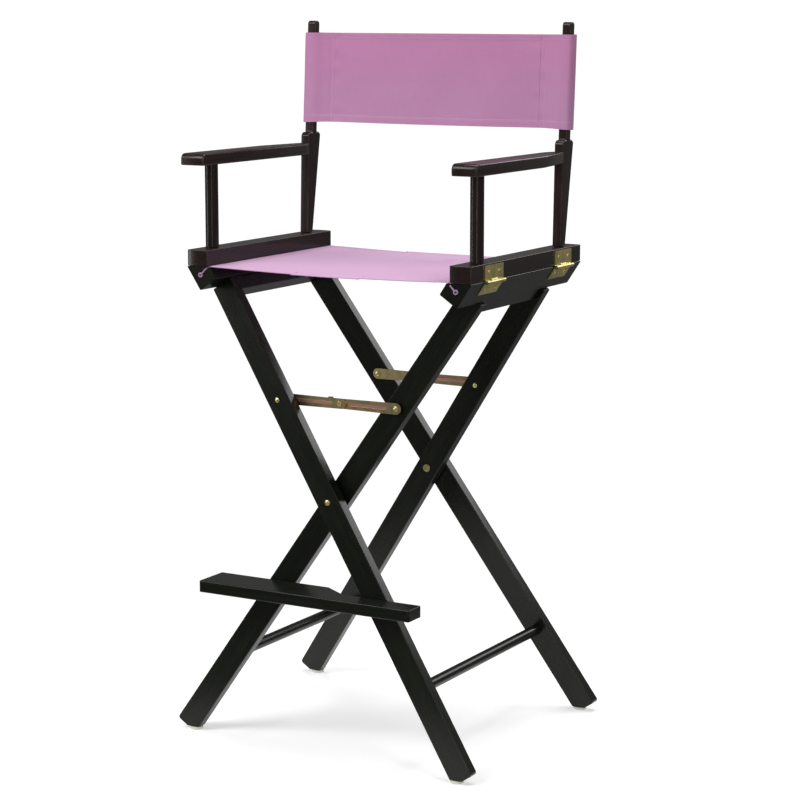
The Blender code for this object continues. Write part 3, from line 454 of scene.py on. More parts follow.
@dataclass(frozen=True)
class Thread:
    """Twisted sewing thread, a shade lighter than the cloth."""

    light: Colour = (0.74, 0.47, 0.70)
    dark: Colour = (0.52, 0.30, 0.50)
    relief: float = 0.06 * MM

    def material(self) -> bpy.types.Material:
        """Build the thread.

        Returns:
            The material.
        """
        shader = Shader("sewing_thread", roughness=0.65, sheen_weight=0.2)
        twist = shader.noise(shader.place(stretch=(900, 900, 900)), 1.0, 2.0)
        shader.output("Base Color", shader.mix(twist, self.dark, self.light))
        shader.output("Roughness", 0.55 + twist * 0.2)
        shader.bump(twist, self.relief, 0.5)
        return shader.material


@dataclass(frozen=True)
class Backdrop:
    """A pale, slightly mottled studio floor."""

    pale: Colour = (0.92, 0.92, 0.92)
    soft: Colour = (0.88, 0.88, 0.885)
    fade_start: float = 0.36
    fade_end: float = 0.8
    glow: float = 0.36

    def material(self) -> bpy.types.Material:
        """Build the floor.

        Returns:
            The material.
        """
        shader = Shader("studio_floor", roughness=0.6, emission_strength=self.glow)
        shader.principled.inputs["Emission Color"].default_value = (1, 1, 1, 1)
        cloud = shader.noise(shader.place(), 1.6, 2.0)
        shader.output("Base Color", shader.mix(cloud, self.pale, self.soft))
        x, y, _ = shader.parts(shader.place())
        reach = (x * x + y * y).power(0.5)
        shader.output("Alpha", reach.step(self.fade_end, self.fade_start))
        return shader.material


class Palette:
    """Makes each finish once and hands it out."""

    def __init__(self) -> None:
        """Start with nothing made."""
        self._made: dict[str, bpy.types.Material] = {}

    def _once(self, key: str, build: Callable[[], bpy.types.Material]) -> bpy.types.Material:
        """Build a material the first time that it is asked for."""
        if key not in self._made:
            self._made[key] = build()
        return self._made[key]

    def lacquer(self, grain: Grain) -> bpy.types.Material:
        """The frames' black lacquer for one grain direction."""
        return self._once(grain.name, lambda: Lacquer().material(grain))

    def warm_lacquer(self, grain: Grain) -> bpy.types.Material:
        """The arms' thinner lacquer, which lets the brown wood through."""
        # the third colour is the painted brown sheen along the edges
        finish = Lacquer("espresso_lacquer", (0.0105, 0.0058, 0.0052), (0.026, 0.0145, 0.0125),
                         (0.062, 0.040, 0.031))
        return self._once("warm" + grain.name, lambda: finish.material(grain))

    def seat_cloth(self) -> bpy.types.Material:
        """The seat's canvas."""
        # painted light: the canvas coloured lighter for the seat's top, which faces the lights; the third
        # colour and the heights give painted shade on its sides
        finish = Canvas("seat_canvas_cloth", (0.60, 0.385, 0.57), (0.44, 0.255, 0.41), (0.57, 0.37, 0.55),
                        0.77, 0.75)
        return self._once("seat", finish.material)

    def back_cloth(self) -> bpy.types.Material:
        """The back's canvas: the seat's cloth coloured darker and redder, as painted shade."""
        # painted shade: the same canvas as the seat, darker and redder; the third colour and the heights
        # give a painted lighter, greyer tone low on the back
        finish = Canvas("back_canvas_cloth", (0.60, 0.265, 0.47), (0.42, 0.175, 0.33), (0.56, 0.325, 0.52),
                        1.125, 1.0)
        return self._once("back", finish.material)

    def plating(self) -> bpy.types.Material:
        """The hinges' and bolts' zinc."""
        return self._once("zinc", Plating().material)

    def rib_plating(self) -> bpy.types.Material:
        """The braces' darker zinc with its rose ribs."""
        finish = Plating("ribbed_zinc_plate", (0.60, 0.47, 0.24), (0.34, 0.33, 0.17), (0.66, 0.38, 0.26),
                         True, 0.26)
        return self._once("rib", finish.material)

    def brass(self) -> bpy.types.Material:
        """The pivot bolts' brass plating."""
        finish = Plating("dull_brass_plate", (0.50, 0.40, 0.20), (0.34, 0.31, 0.16), (0.46, 0.34, 0.2),
                         False, 0.36)
        return self._once("brass", finish.material)

    def plastic(self) -> bpy.types.Material:
        """The feet's plastic."""
        return self._once("plastic", Moulding().material)

    def thread(self) -> bpy.types.Material:
        """The stitching's thread."""
        return self._once("thread", Thread().material)


# ---------------------------------------------------------------- modelling by hand

class Bench:
    """The few modelling moves that every piece uses."""

    @staticmethod
    def clear_selection() -> None:
        """Leave edit mode and deselect everything."""
        if bpy.context.object and bpy.context.object.mode != "OBJECT":
            bpy.ops.object.mode_set(mode="OBJECT")
        bpy.ops.object.select_all(action="DESELECT")

    @staticmethod
    def hold(piece: bpy.types.Object) -> None:
        """Select one object and make it active."""
        Bench.clear_selection()
        piece.select_set(True)
        bpy.context.view_layer.objects.active = piece

    @staticmethod
    def name(piece: bpy.types.Object, name: str) -> bpy.types.Object:
        """Name an object and its mesh."""
        piece.name = name
        piece.data.name = name
        return piece

    @staticmethod
    def apply(piece: bpy.types.Object, kind: str, **settings: object) -> None:
        """Add a modifier and apply it.

        Args:
            piece: the object.
            kind: the modifier's type.
            settings: its properties.
        """
        Bench.hold(piece)
        modifier = piece.modifiers.new(kind.lower(), kind)
        for key, value in settings.items():
            setattr(modifier, key, value)
        bpy.ops.object.modifier_apply(modifier=modifier.name)

    @staticmethod
    def freeze(piece: bpy.types.Object) -> None:
        """Put the object's place into its mesh."""
        Bench.hold(piece)
        bpy.ops.object.transform_apply(location=True, rotation=True, scale=True)

    @staticmethod
    def smooth(piece: bpy.types.Object, degrees: float = 35.0) -> None:
        """Shade smooth except across sharp edges."""
        Bench.hold(piece)
        bpy.ops.object.shade_smooth_by_angle(angle=math.radians(degrees))

    @staticmethod
    def pick_all(piece: bpy.types.Object) -> None:
        """Enter edit mode with everything selected."""
        Bench.hold(piece)
        bpy.ops.object.mode_set(mode="EDIT")
        bpy.ops.mesh.select_all(action="SELECT")

    @staticmethod
    def pick_faces(piece: bpy.types.Object, test: Callable[[bpy.types.MeshPolygon], bool]) -> None:
        """Enter edit mode with the faces selected that pass a test."""
        Bench.pick_none(piece, "FACE")
        for face in piece.data.polygons:
            face.select = test(face)
        bpy.ops.object.mode_set(mode="EDIT")

    @staticmethod
    def pick_edges(piece: bpy.types.Object, test: Callable[[Vector, Vector], bool]) -> None:
        """Enter edit mode with the edges selected whose two ends pass a test."""
        Bench.pick_none(piece, "EDGE")
        for edge in piece.data.edges:
            first, second = [piece.data.vertices[index].co for index in edge.vertices]
            edge.select = test(first, second)
        bpy.ops.object.mode_set(mode="EDIT")

    @staticmethod
    def pick_none(piece: bpy.types.Object, kind: str) -> None:
        """Choose the kind of thing to select, with nothing selected yet."""
        Bench.hold(piece)
        bpy.ops.object.mode_set(mode="EDIT")
        bpy.ops.mesh.select_mode(type=kind)
        bpy.ops.mesh.select_all(action="DESELECT")
        bpy.ops.object.mode_set(mode="OBJECT")

    @staticmethod
    def face_out(piece: bpy.types.Object) -> None:
        """Turn every face outwards."""
        Bench.pick_all(piece)
        bpy.ops.mesh.normals_make_consistent(inside=False)
        Bench.done()

    @staticmethod
    def block(centre: Sequence[float], size: Sequence[float], turn: float = 0.0) -> bpy.types.Object:
        """A plain block, turned about Z when a turn is given."""
        Bench.clear_selection()
        bpy.ops.mesh.primitive_cube_add(size=1, location=centre, rotation=(0, 0, turn), scale=size)
        return bpy.context.object

    @staticmethod
    def cut(piece: bpy.types.Object, tool: bpy.types.Object) -> None:
        """Cut a tool out of a piece and remove the tool."""
        Bench.apply(piece, "BOOLEAN", operation="DIFFERENCE", solver="EXACT", object=tool)
        bpy.data.objects.remove(tool, do_unlink=True)

    @staticmethod
    def mark(piece: bpy.types.Object, name: str, values: Sequence[float]) -> None:
        """Write one number on each face, for the finishes to read."""
        attribute = piece.data.attributes.new(name, "FLOAT", "FACE")
        attribute.data.foreach_set("value", values)

    @staticmethod
    def done() -> None:
        """Leave edit mode."""
        bpy.ops.object.mode_set(mode="OBJECT")

    @staticmethod
    def copies(source: bpy.types.Object, name: str, places: Iterable[Matrix]) -> bpy.types.Object:
        """One piece made of many copies of a modelled shape, which is then removed.

        Args:
            source: the modelled shape, at the origin.
            name: the new piece's name.
            places: where each copy goes.

        Returns:
            The joined piece.
        """
        gathered = bmesh.new()
        for place in places:
            start = len(gathered.verts)
            gathered.from_mesh(source.data)
            gathered.verts.ensure_lookup_table()
            bmesh.ops.transform(gathered, matrix=place, verts=gathered.verts[start:])
        mesh = bpy.data.meshes.new(name)
        gathered.to_mesh(mesh)
        gathered.free()
        mesh.shade_smooth()
        piece = bpy.data.objects.new(name, mesh)
        bpy.context.scene.collection.objects.link(piece)
        bpy.data.objects.remove(source, do_unlink=True)
        return piece


def settle(piece: bpy.types.Object, body: Optional[str], slot: str, material: bpy.types.Material,
           nodes: Sequence[str] = ()) -> bpy.types.Object:
    """Dress a finished piece, say what it stands for and let it ride.

    Args:
        piece: the finished piece.
        body: the body that it rides on, or None when it blends.
        slot: the record's material slot; not used.
        material: its finish.
        nodes: the nodes that it replaces.

    Returns:
        The piece.
    """
    piece.data.materials.clear()
    piece.data.materials.append(material)
    if nodes:
        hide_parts(*nodes)
    if body:
        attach(piece, body)
    log.info("made %s", piece.name)
    return piece


def body_of_node(node: str) -> str:
    """The body that a node belongs to."""
    for body, nodes in frame["record"]["behaviour"]["bodies"].items():
        if node in nodes:
            return body
    raise KeyError(node)


# ---------------------------------------------------------------- boards and fittings

@dataclass
class Joinery:
    """Every rigid node, with its edges welded, its shading smoothed and its edges marked for the lacquer's
    painted sheen.
    """

    palette: Palette
    weld: float = 0.01 * MM
    edge_width: float = 1.6 * MM
    smooth_degrees: float = 38.0
    link_half: float = 9 * MM
    face_half: float = 8 * MM
    rib_rise: float = 0.7 * MM
    rib_half: float = 3.3 * MM
    hollow_half: float = 2.8 * MM
    hollow_depth: float = 0.6 * MM
    hollow_from_end: float = 36 * MM
    hollow_from_bolt: float = 25 * MM
    nose: float = 9.5 * MM
    arm_rounding: float = 2.6 * MM
    outer_taper_from: float = 43.5 * MM
    inner_taper_from: float = 123.5 * MM
    end_past_post: float = 2 * MM

    def finish_for(self, node: str) -> tuple[str, bpy.types.Material]:
        """The slot and finish of a node.

        Args:
            node: its name.

        Returns:
            The record's slot, and the material.
        """
        if node.startswith("glide"):
            return "pale_plastic", self.palette.plastic()
        if node.startswith(("pivot_bolt", "pivot_nut", "footrest_bolt")):
            return "brass", self.palette.brass()
        if node.startswith("brace_link"):
            return "yellow_zinc", self.palette.rib_plating()
        if node.startswith(("hinge", "brace", "pivot_bush", "footrest_peg")):
            return "yellow_zinc", self.palette.plating()
        if node.startswith(("arm", "front_post", "back_post")):
            return "black_wood", self.palette.warm_lacquer(self.grain_of(node))
        return "black_wood", self.palette.lacquer(self.grain_of(node))

    def grain_of(self, node: str) -> Grain:
        """How the grain of a wooden node lies."""
        if node.startswith("leg_outer"):
            return Grain.OUTER_LEG
        if node.startswith("leg_inner"):
            return Grain.INNER_LEG
        if "post" in node:
            return Grain.ALONG_Z
        if node == "footrest":
            return Grain.ALONG_X
        return Grain.ALONG_Y

    def build(self) -> None:
        """Make a finished piece for every rigid node."""
        for node in sorted(frame["nodes"]):
            if "canvas" not in node and not node.startswith("armrest"):
                self.finish(node)
        for side in Side:
            self.armrest(side)

    def armrest(self, side: Side) -> None:
        """Model one armrest: a board with a round upper nose, tapered to its back post.

        Args:
            side: the chair's side.
        """
        node = "armrest_" + side.word
        low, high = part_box(node)
        post_low, post_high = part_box("back_post_" + side.word)
        piece = Bench.name(Bench.block((low + high) / 2, high - low), node + "_finished")
        Bench.freeze(piece)
        outer, inner = (low.x, high.x) if side is Side.LEFT else (high.x, low.x)
        past_post = side.value * self.end_past_post
        end_outer = (post_low.x if side is Side.LEFT else post_high.x) + past_post
        end_inner = (post_high.x if side is Side.LEFT else post_low.x) - past_post
        for start, stop in (((outer, self.outer_taper_from), (end_outer, high.y)),
                            ((inner, self.inner_taper_from), (end_inner, high.y))):
            way = Vector((stop[0] - start[0], stop[1] - start[1], 0))
            normal = Vector((way.y, -way.x, 0)).normalized()
            if normal.x * (start[0] - (low.x + high.x) / 2) < 0:
                normal = -normal
            Bench.pick_all(piece)
            bpy.ops.mesh.bisect(plane_co=(start[0], start[1], low.z), plane_no=normal, use_fill=True,
                                clear_outer=True)
            Bench.done()
        near = 1 * MM
        Bench.pick_edges(piece, lambda *ends: all(end.y < low.y + near and end.z > high.z - near
                                                  for end in ends))
        bpy.ops.mesh.bevel(offset=self.nose, segments=8, affect="EDGES")
        Bench.done()
        Bench.apply(piece, "BEVEL", width=self.arm_rounding, segments=4, limit_method="ANGLE",
                    angle_limit=math.radians(25), harden_normals=False)
        self.mark_edges(piece)
        Bench.face_out(piece)
        Bench.smooth(piece, 32)
        settle(piece, side.arm, "black_wood", self.palette.warm_lacquer(Grain.ALONG_Y), [node])

    def finish(self, node: str) -> None:
        """Weld a copy of a node's mesh, smooth it and dress it."""
        source = frame["nodes"][node]
        piece = bpy.data.objects.new(node + "_finished", source.data.copy())
        piece.data.name = piece.name
        bpy.context.scene.collection.objects.link(piece)
        Bench.pick_all(piece)
        bpy.ops.mesh.remove_doubles(threshold=self.weld)
        bpy.ops.mesh.dissolve_limited(angle_limit=math.radians(0.3))
        Bench.done()
        self.mark_edges(piece)
        if node.startswith("brace_link"):
            self.mark_rib(piece)
        if node.startswith("brace_link_right"):
            self.press_back(piece, -1 if node.endswith("front") else 1)
        Bench.smooth(piece, self.smooth_degrees)
        Bench.apply(piece, "WEIGHTED_NORMAL", keep_sharp=True, weight=50)
        slot, material = self.finish_for(node)
        settle(piece, body_of_node(node), slot, material, [node])

    def mark_edges(self, piece: bpy.types.Object) -> None:
        """Write 1 on the narrow faces along a piece's edges, for the lacquer's painted sheen."""
        marks = []
        for face in piece.data.polygons:
            points = [piece.data.vertices[index].co for index in face.vertices]
            longest = max((a - b).length for a, b in zip(points, points[1:] + points[:1]))
            marks.append(1.0 if face.area / longest < self.edge_width else 0.0)
        Bench.mark(piece, "edge", marks)

    def press_back(self, piece: bpy.types.Object, face_way: int) -> None:
        """Press the rib's hollow into the face of a link that looks out of the chair.

        Args:
            piece: the link.
            face_way: the sign of Y that the face looks to.
        """
        points = [vertex.co.copy() for vertex in piece.data.vertices]
        level = min(point.z for point in points) + self.link_half
        near = min(point.x for point in points if abs(point.z - level) < self.link_half)
        far = max(point.x for point in points)
        flat = [face.center.y for face in piece.data.polygons
                if face.normal.y * face_way > 0.9 and abs(face.center.z - level) < self.face_half]
        surface = max(flat, key=lambda depth: depth * face_way)
        start, stop = near + self.hollow_from_end, far - self.hollow_from_bolt
        tool = Bench.block(((start + stop) / 2, surface, level),
                           (stop - start, 2 * self.hollow_depth, 2 * self.hollow_half))
        Bench.freeze(tool)
        Bench.pick_edges(tool, lambda first, second: abs(first.y - second.y) > 0.1 * MM)
        bpy.ops.mesh.bevel(offset=self.hollow_half * 0.95, segments=5, affect="EDGES")
        Bench.done()
        Bench.mark(tool, "rib", [1.0] * len(tool.data.polygons))
        Bench.cut(piece, tool)

    def mark_rib(self, piece: bpy.types.Object) -> None:
        """Write 1 on the pressed rib, which stands proud of one face of a link."""
        level = min(vertex.co.z for vertex in piece.data.vertices) + self.link_half
        band = [face for face in piece.data.polygons if abs(face.center.z - level) < self.rib_half]
        flat = [face for face in piece.data.polygons if abs(face.normal.y) > 0.9]
        depths = [face.center.y for face in flat if abs(face.center.z - level) < self.rib_half]
        ends = []
        for depth in (min(depths), max(depths)):
            area = sum(face.area for face in flat if abs(face.center.y - depth) < 0.1 * MM)
            ends.append((area, depth))
        proud = min(ends)[1]
        ribs = {face.index for face in band if abs(face.center.y - proud) < self.rib_rise}
        Bench.mark(piece, "rib", [1.0 if face.index in ribs else 0.0 for face in piece.data.polygons])


@dataclass
class LeafScrews:
    """Countersunk screws, two in each hinge leaf."""

    palette: Palette
    radius: float = 2.7 * MM
    height: float = 0.9 * MM
    slot_width: float = 0.7 * MM
    slot_length: float = 3.4 * MM
    spread: float = 17 * MM
    rim: float = 0.45 * MM
    sunk: float = 0.05 * MM
    upper_plate: float = 259 * MM
    upper_rise: float = 2.5 * MM
    lower_drop: float = 13.5 * MM
    lower_behind_pin: float = 1.6 * MM

    def head(self) -> bpy.types.Object:
        """Model one head with its cross recess, its base on the origin and its crown along Z.

        Returns:
            The head.
        """
        Bench.clear_selection()
        bpy.ops.mesh.primitive_cylinder_add(vertices=20, radius=self.radius, depth=self.height,
                                            location=(0, 0, self.height / 2))
        head = Bench.name(bpy.context.object, "screw_head")
        Bench.freeze(head)
        Bench.pick_faces(head, lambda face: face.normal.z > 0.9)
        bpy.ops.mesh.bevel(offset=self.rim, segments=3, affect="EDGES")
        Bench.done()
        for turn in (0, math.pi / 2):
            slot = (self.slot_length, self.slot_width, self.height)
            Bench.cut(head, Bench.block((0, 0, self.height), slot, turn))
        return head

    def build(self) -> None:
        """Put two screws in every leaf."""
        for side in Side:
            for row in Row:
                for level in ("upper", "lower"):
                    self.set_screws(side, row, level)

    def set_screws(self, side: Side, row: Row, level: str) -> None:
        """Set one leaf's two screws, square to the plate.

        Args:
            side: the chair's side.
            row: front or rear hinge.
            level: upper or lower leaf.
        """
        node = "hinge_%s_%s_%s" % (level, side.word, row.word)
        low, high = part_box(node)
        pin_low, pin_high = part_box("hinge_pin_%s_%s" % (side.word, row.word))
        pin = (pin_low + pin_high) / 2
        middle = (low.y + high.y) / 2
        if level == "upper":
            normal = Vector((side.value, 0, 0))
            rise = (pin.z + high.z) / 2 + self.upper_rise
            centre = Vector((side.value * self.upper_plate, middle, rise))
        else:
            lean = math.pi / 2 - LEG_SLOPE
            normal = Vector((side.value * math.cos(lean), 0, -math.sin(lean)))
            down = Vector((-side.value * math.sin(lean), 0, -math.cos(lean)))
            centre = Vector((pin.x, middle, pin.z)) - normal * self.lower_behind_pin
            centre += down * self.lower_drop
        turn = Vector((0, 0, 1)).rotation_difference(normal).to_matrix().to_4x4()
        places = []
        for way in (-1, 1):
            spin = Matrix.Rotation(0.6 * way + middle * 9, 4, "Z")
            spot = centre + Vector((0, way * self.spread, 0)) - normal * self.sunk
            places.append(Matrix.Translation(spot) @ turn @ spin)
        screws = Bench.copies(self.head(), "screws_" + node, places)
        Bench.smooth(screws)
        body = side.arm if level == "upper" else side.frame
        settle(screws, body, "yellow_zinc", self.palette.plating())


# ---------------------------------------------------------------- cloth

def path_stations(path: Sequence[Vector]) -> list[float]:
    """Length along a path at each of its points."""
    lengths = [0.0]
    for first, second in zip(path, path[1:]):
        lengths.append(lengths[-1] + (second - first).length)
    return lengths


def nearest(values: Sequence[float], target: float) -> int:
    """The index of the value that lies closest to a target."""
    return min(range(len(values)), key=lambda index: abs(values[index] - target))


def dent(distance: float, width: float) -> float:
    """A rounded dent: 1 at its middle and almost 0 at twice its width."""
    return math.exp(-(distance / width) ** 2)


def smooth_path(points: Sequence[Sequence[float]], count: int) -> list[Vector]:
    """Points evenly spaced along a smooth curve through the given ones.

    Args:
        points: the curve's own points in the plane.
        count: how many points to return.

    Returns:
        The points, both ends included.
    """
    given = [Vector(point) for point in points]
    fine = []
    for index in range(len(given) - 1):
        a = given[max(index - 1, 0)]
        b, c = given[index], given[index + 1]
        d = given[min(index + 2, len(given) - 1)]
        for step in range(16):
            t = step / 16
            fine.append(0.5 * ((2 * b) + (c - a) * t + (2 * a - 5 * b + 4 * c - d) * t * t
                               + (3 * b - a - 3 * c + d) * t ** 3))
    fine.append(given[-1])
    lengths = path_stations(fine)
    stations = np.linspace(0, lengths[-1], count)
    xs = np.interp(stations, lengths, [p.x for p in fine])
    ys = np.interp(stations, lengths, [p.y for p in fine])
    return [Vector((x, y)) for x, y in zip(xs, ys)]


def cloth(name: str, columns: Sequence[float], rows: Sequence[float],
          shape: Callable[[int, int], Vector], thickness: float) -> bpy.types.Object:
    """A sheet of cloth from a grid, with a UV map in metres and a real thickness.

    Args:
        name: the piece's name.
        columns: distance along the cloth at each column.
        rows: distance across the cloth at each row.
        shape: the place of the vertex at a column and a row.
        thickness: the cloth's thickness.

    Returns:
        The piece.
    """
    Bench.clear_selection()
    bpy.ops.mesh.primitive_grid_add(x_subdivisions=len(columns) - 1, y_subdivisions=len(rows) - 1,
                                    size=1, calc_uvs=True)
    piece = Bench.name(bpy.context.object, name)
    grid = [(round((vertex.co.x + 0.5) * (len(columns) - 1)), round((vertex.co.y + 0.5) * (len(rows) - 1)))
            for vertex in piece.data.vertices]
    for vertex, (column, row) in zip(piece.data.vertices, grid):
        vertex.co = shape(column, row)
    layer = piece.data.uv_layers.active
    for loop in piece.data.loops:
        column, row = grid[loop.vertex_index]
        layer.data[loop.index].uv = (columns[column], rows[row])
    piece.data.update()
    Bench.apply(piece, "SOLIDIFY", thickness=thickness, offset=0.0, use_even_offset=True)
    Bench.smooth(piece, 50)
    return piece


@dataclass
class Stitching:
    """Rows of lockstitch: short raised stitches with a gap between them."""

    palette: Palette
    length: float = 3.1 * MM
    pitch: float = 4.2 * MM
    radius: float = 0.34 * MM

    def stitch(self) -> bpy.types.Object:
        """Model one stitch along X: a bead drawn out and pressed flat at its ends.

        Returns:
            The stitch.
        """
        Bench.clear_selection()
        bpy.ops.mesh.primitive_uv_sphere_add(segments=6, ring_count=6, radius=1)
        stitch = Bench.name(bpy.context.object, "stitch")
        Bench.pick_all(stitch)
        bpy.ops.transform.rotate(value=math.pi / 2, orient_axis="Y", center_override=(0, 0, 0))
        bpy.ops.transform.resize(value=(self.length / 2, self.radius, self.radius))
        Bench.done()
        for vertex in stitch.data.vertices:
            end = abs(vertex.co.x) / (self.length / 2)
            vertex.co.z -= self.radius * 0.9 * end ** 4
        return stitch

    def rows(self, name: str, lines: Sequence[Sequence[tuple[Vector, Vector]]]) -> bpy.types.Object:
        """Sew along lines.

        Args:
            name: the piece's name.
            lines: each a list of points and the cloth's outward directions there.

        Returns:
            The stitches as one piece.
        """
        places = []
        for line in lines:
            points = [point for point, _ in line]
            lengths = path_stations(points)
            count = int(lengths[-1] / self.pitch)
            for index in range(count):
                station = (index + 0.5) * self.pitch
                at = next(k for k in range(1, len(lengths)) if lengths[k] >= station)
                share = (station - lengths[at - 1]) / max(lengths[at] - lengths[at - 1], 1e-9)
                spot = points[at - 1].lerp(points[at], share)
                along = (points[at] - points[at - 1]).normalized()
                out = line[at - 1][1].lerp(line[at][1], share)
                out = (out - along * out.dot(along)).normalized()
                side_way = out.cross(along)
                turn = Matrix((along, side_way, out)).transposed().to_4x4()
                places.append(Matrix.Translation(spot) @ turn)
        return Bench.copies(self.stitch(), name, places)


@dataclass
class SeatCloth:
    """The seat: one cloth held by a dowel in each rail's groove, hemmed front and rear."""

    palette: Palette
    thickness: float = 1.1 * MM
    sag: float = 3.0 * MM
    hem: float = 13 * MM
    seam: float = 10.5 * MM
    hem_rise: float = 0.35 * MM
    ripple: float = 0.45 * MM
    waviness: float = 0.5 * MM
    narrowing: float = 0.8 * MM
    loop_reach: float = 6.5 * MM
    line_height: float = 0.95 * MM

    def section(self) -> list[Vector]:
        """Half of the cloth's line from the middle to the end of its loop, as X and height.

        Returns:
            Evenly spaced points.
        """
        low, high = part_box("dowel_right")
        dowel = (low + high) / 2
        radius = (high.z - low.z) / 2 + self.line_height
        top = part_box("seat_rail_right")[1].z
        rise = top - dowel.z
        mouth = dowel.x - rise
        over = top + self.line_height
        points = []
        for step in range(9):
            share = step / 8
            x = (mouth - 5 * MM) * share
            points.append((x, over - 0.4 * MM - self.sag * (1 - share ** 2)))
        points += [(mouth - 2.6 * MM, over), (mouth - 0.9 * MM, top + 0.55 * MM),
                   (mouth + 0.7 * MM, top - 0.7 * MM)]
        for step in range(13):
            angle = math.radians(135 - 340 * step / 12)
            points.append((dowel.x + radius * math.cos(angle), dowel.z + radius * math.sin(angle)))
        return smooth_path(points, 190)

    def build(self) -> None:
        """Make the cloth and its stitches."""
        half = self.section()
        line = [Vector((-p.x, p.y)) for p in half[:0:-1]] + half
        stations = path_stations(line)
        middle = stations[-1] / 2
        low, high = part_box("seat_canvas_right")
        width = high.y - low.y
        rows = self.row_places(width)
        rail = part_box("seat_rail_right")[0].x
        mouth_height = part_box("seat_rail_right")[1].z - 2.2 * MM

        def shape(column: int, row: int) -> Vector:
            """The place of the seat's vertex at a column and a row."""
            point = line[column]
            across = rows[row]
            inward = min(across, width - across)
            free = max(0.0, 1 - abs(point.x) / rail)
            lift = self.hem_rise * min(1.0, inward / (1.5 * MM)) * (1 if inward < self.hem else 0)
            groove = self.hem_rise * dent(inward - self.seam, 1.1 * MM)
            towards_middle = 1 - (point.x / rail) ** 2 if free else 0.0
            edge_sag = self.waviness * math.exp(-inward / (22 * MM)) * towards_middle
            near_rail = math.exp(-(rail - abs(point.x)) / (46 * MM)) if free else 0.0
            fold = math.sin(across * 118 + 1.7 * math.sin(point.x * 31)) * near_rail * free ** 0.25
            dip = self.waviness * math.sin(point.x * 23 + 0.6) * math.sin(across * 17) * min(1.0, free * 6)
            height = point.y + (lift - groove if free > 0.03 else 0) - edge_sag + self.ripple * fold + dip
            inset = self.narrowing * towards_middle
            if point.y < mouth_height:
                inset = -self.loop_reach
            pull = inset * (1 - 2 * across / width)
            return Vector((point.x, low.y + across + pull, height))

        columns = [station - middle for station in stations]
        seat = cloth("seat_cloth", columns, rows, shape, self.thickness)
        settle(seat, None, "canvas", self.palette.seat_cloth(), ["seat_canvas_left", "seat_canvas_right"])
        threads = self.sew(line, rows, shape, width, rail)
        start, end = (-rail, 0, low.z), (rail, 0, low.z)
        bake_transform(seat)
        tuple(start)
        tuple(end)
        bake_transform(threads)
        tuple(start)
        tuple(end)

    def row_places(self, width: float) -> list[float]:
        """Distances across the cloth, close together over the hems."""
        edge = [0.0, 0.5, 1.5, 3.5, 6.0, 8.0, 9.2, 10.0, 10.5, 11.0, 11.8, 12.9, 13.1, 15.0]
        edge = [value * MM for value in edge]
        inner = list(np.linspace(edge[-1], width - edge[-1], 60))[1:-1]
        return edge + inner + [width - value for value in reversed(edge)]

    def sew(self, line: Sequence[Vector], rows: Sequence[float], shape: Callable[[int, int], Vector],
            width: float, rail: float) -> bpy.types.Object:
        """Sew both hems on both faces of the cloth.

        Args:
            line: the cloth's section.
            rows: distances across the cloth.
            shape: the cloth's shape.
            width: the cloth's width.
            rail: where the rails start.

        Returns:
            The stitches.
        """
        lines = []
        usable = [index for index, point in enumerate(line) if abs(point.x) < rail - 2 * MM]
        for target in (self.seam, width - self.seam):
            row = nearest(rows, target)
            for face in (1, -1):
                lift = Vector((0, 0, face * (self.thickness / 2 + 0.1 * MM)))
                lines.append([(shape(index, row) + lift, Vector((0, 0, face))) for index in usable[::4]])
        threads = Stitching(self.palette).rows("seat_stitching", lines)
        return settle(threads, None, "canvas", self.palette.thread())


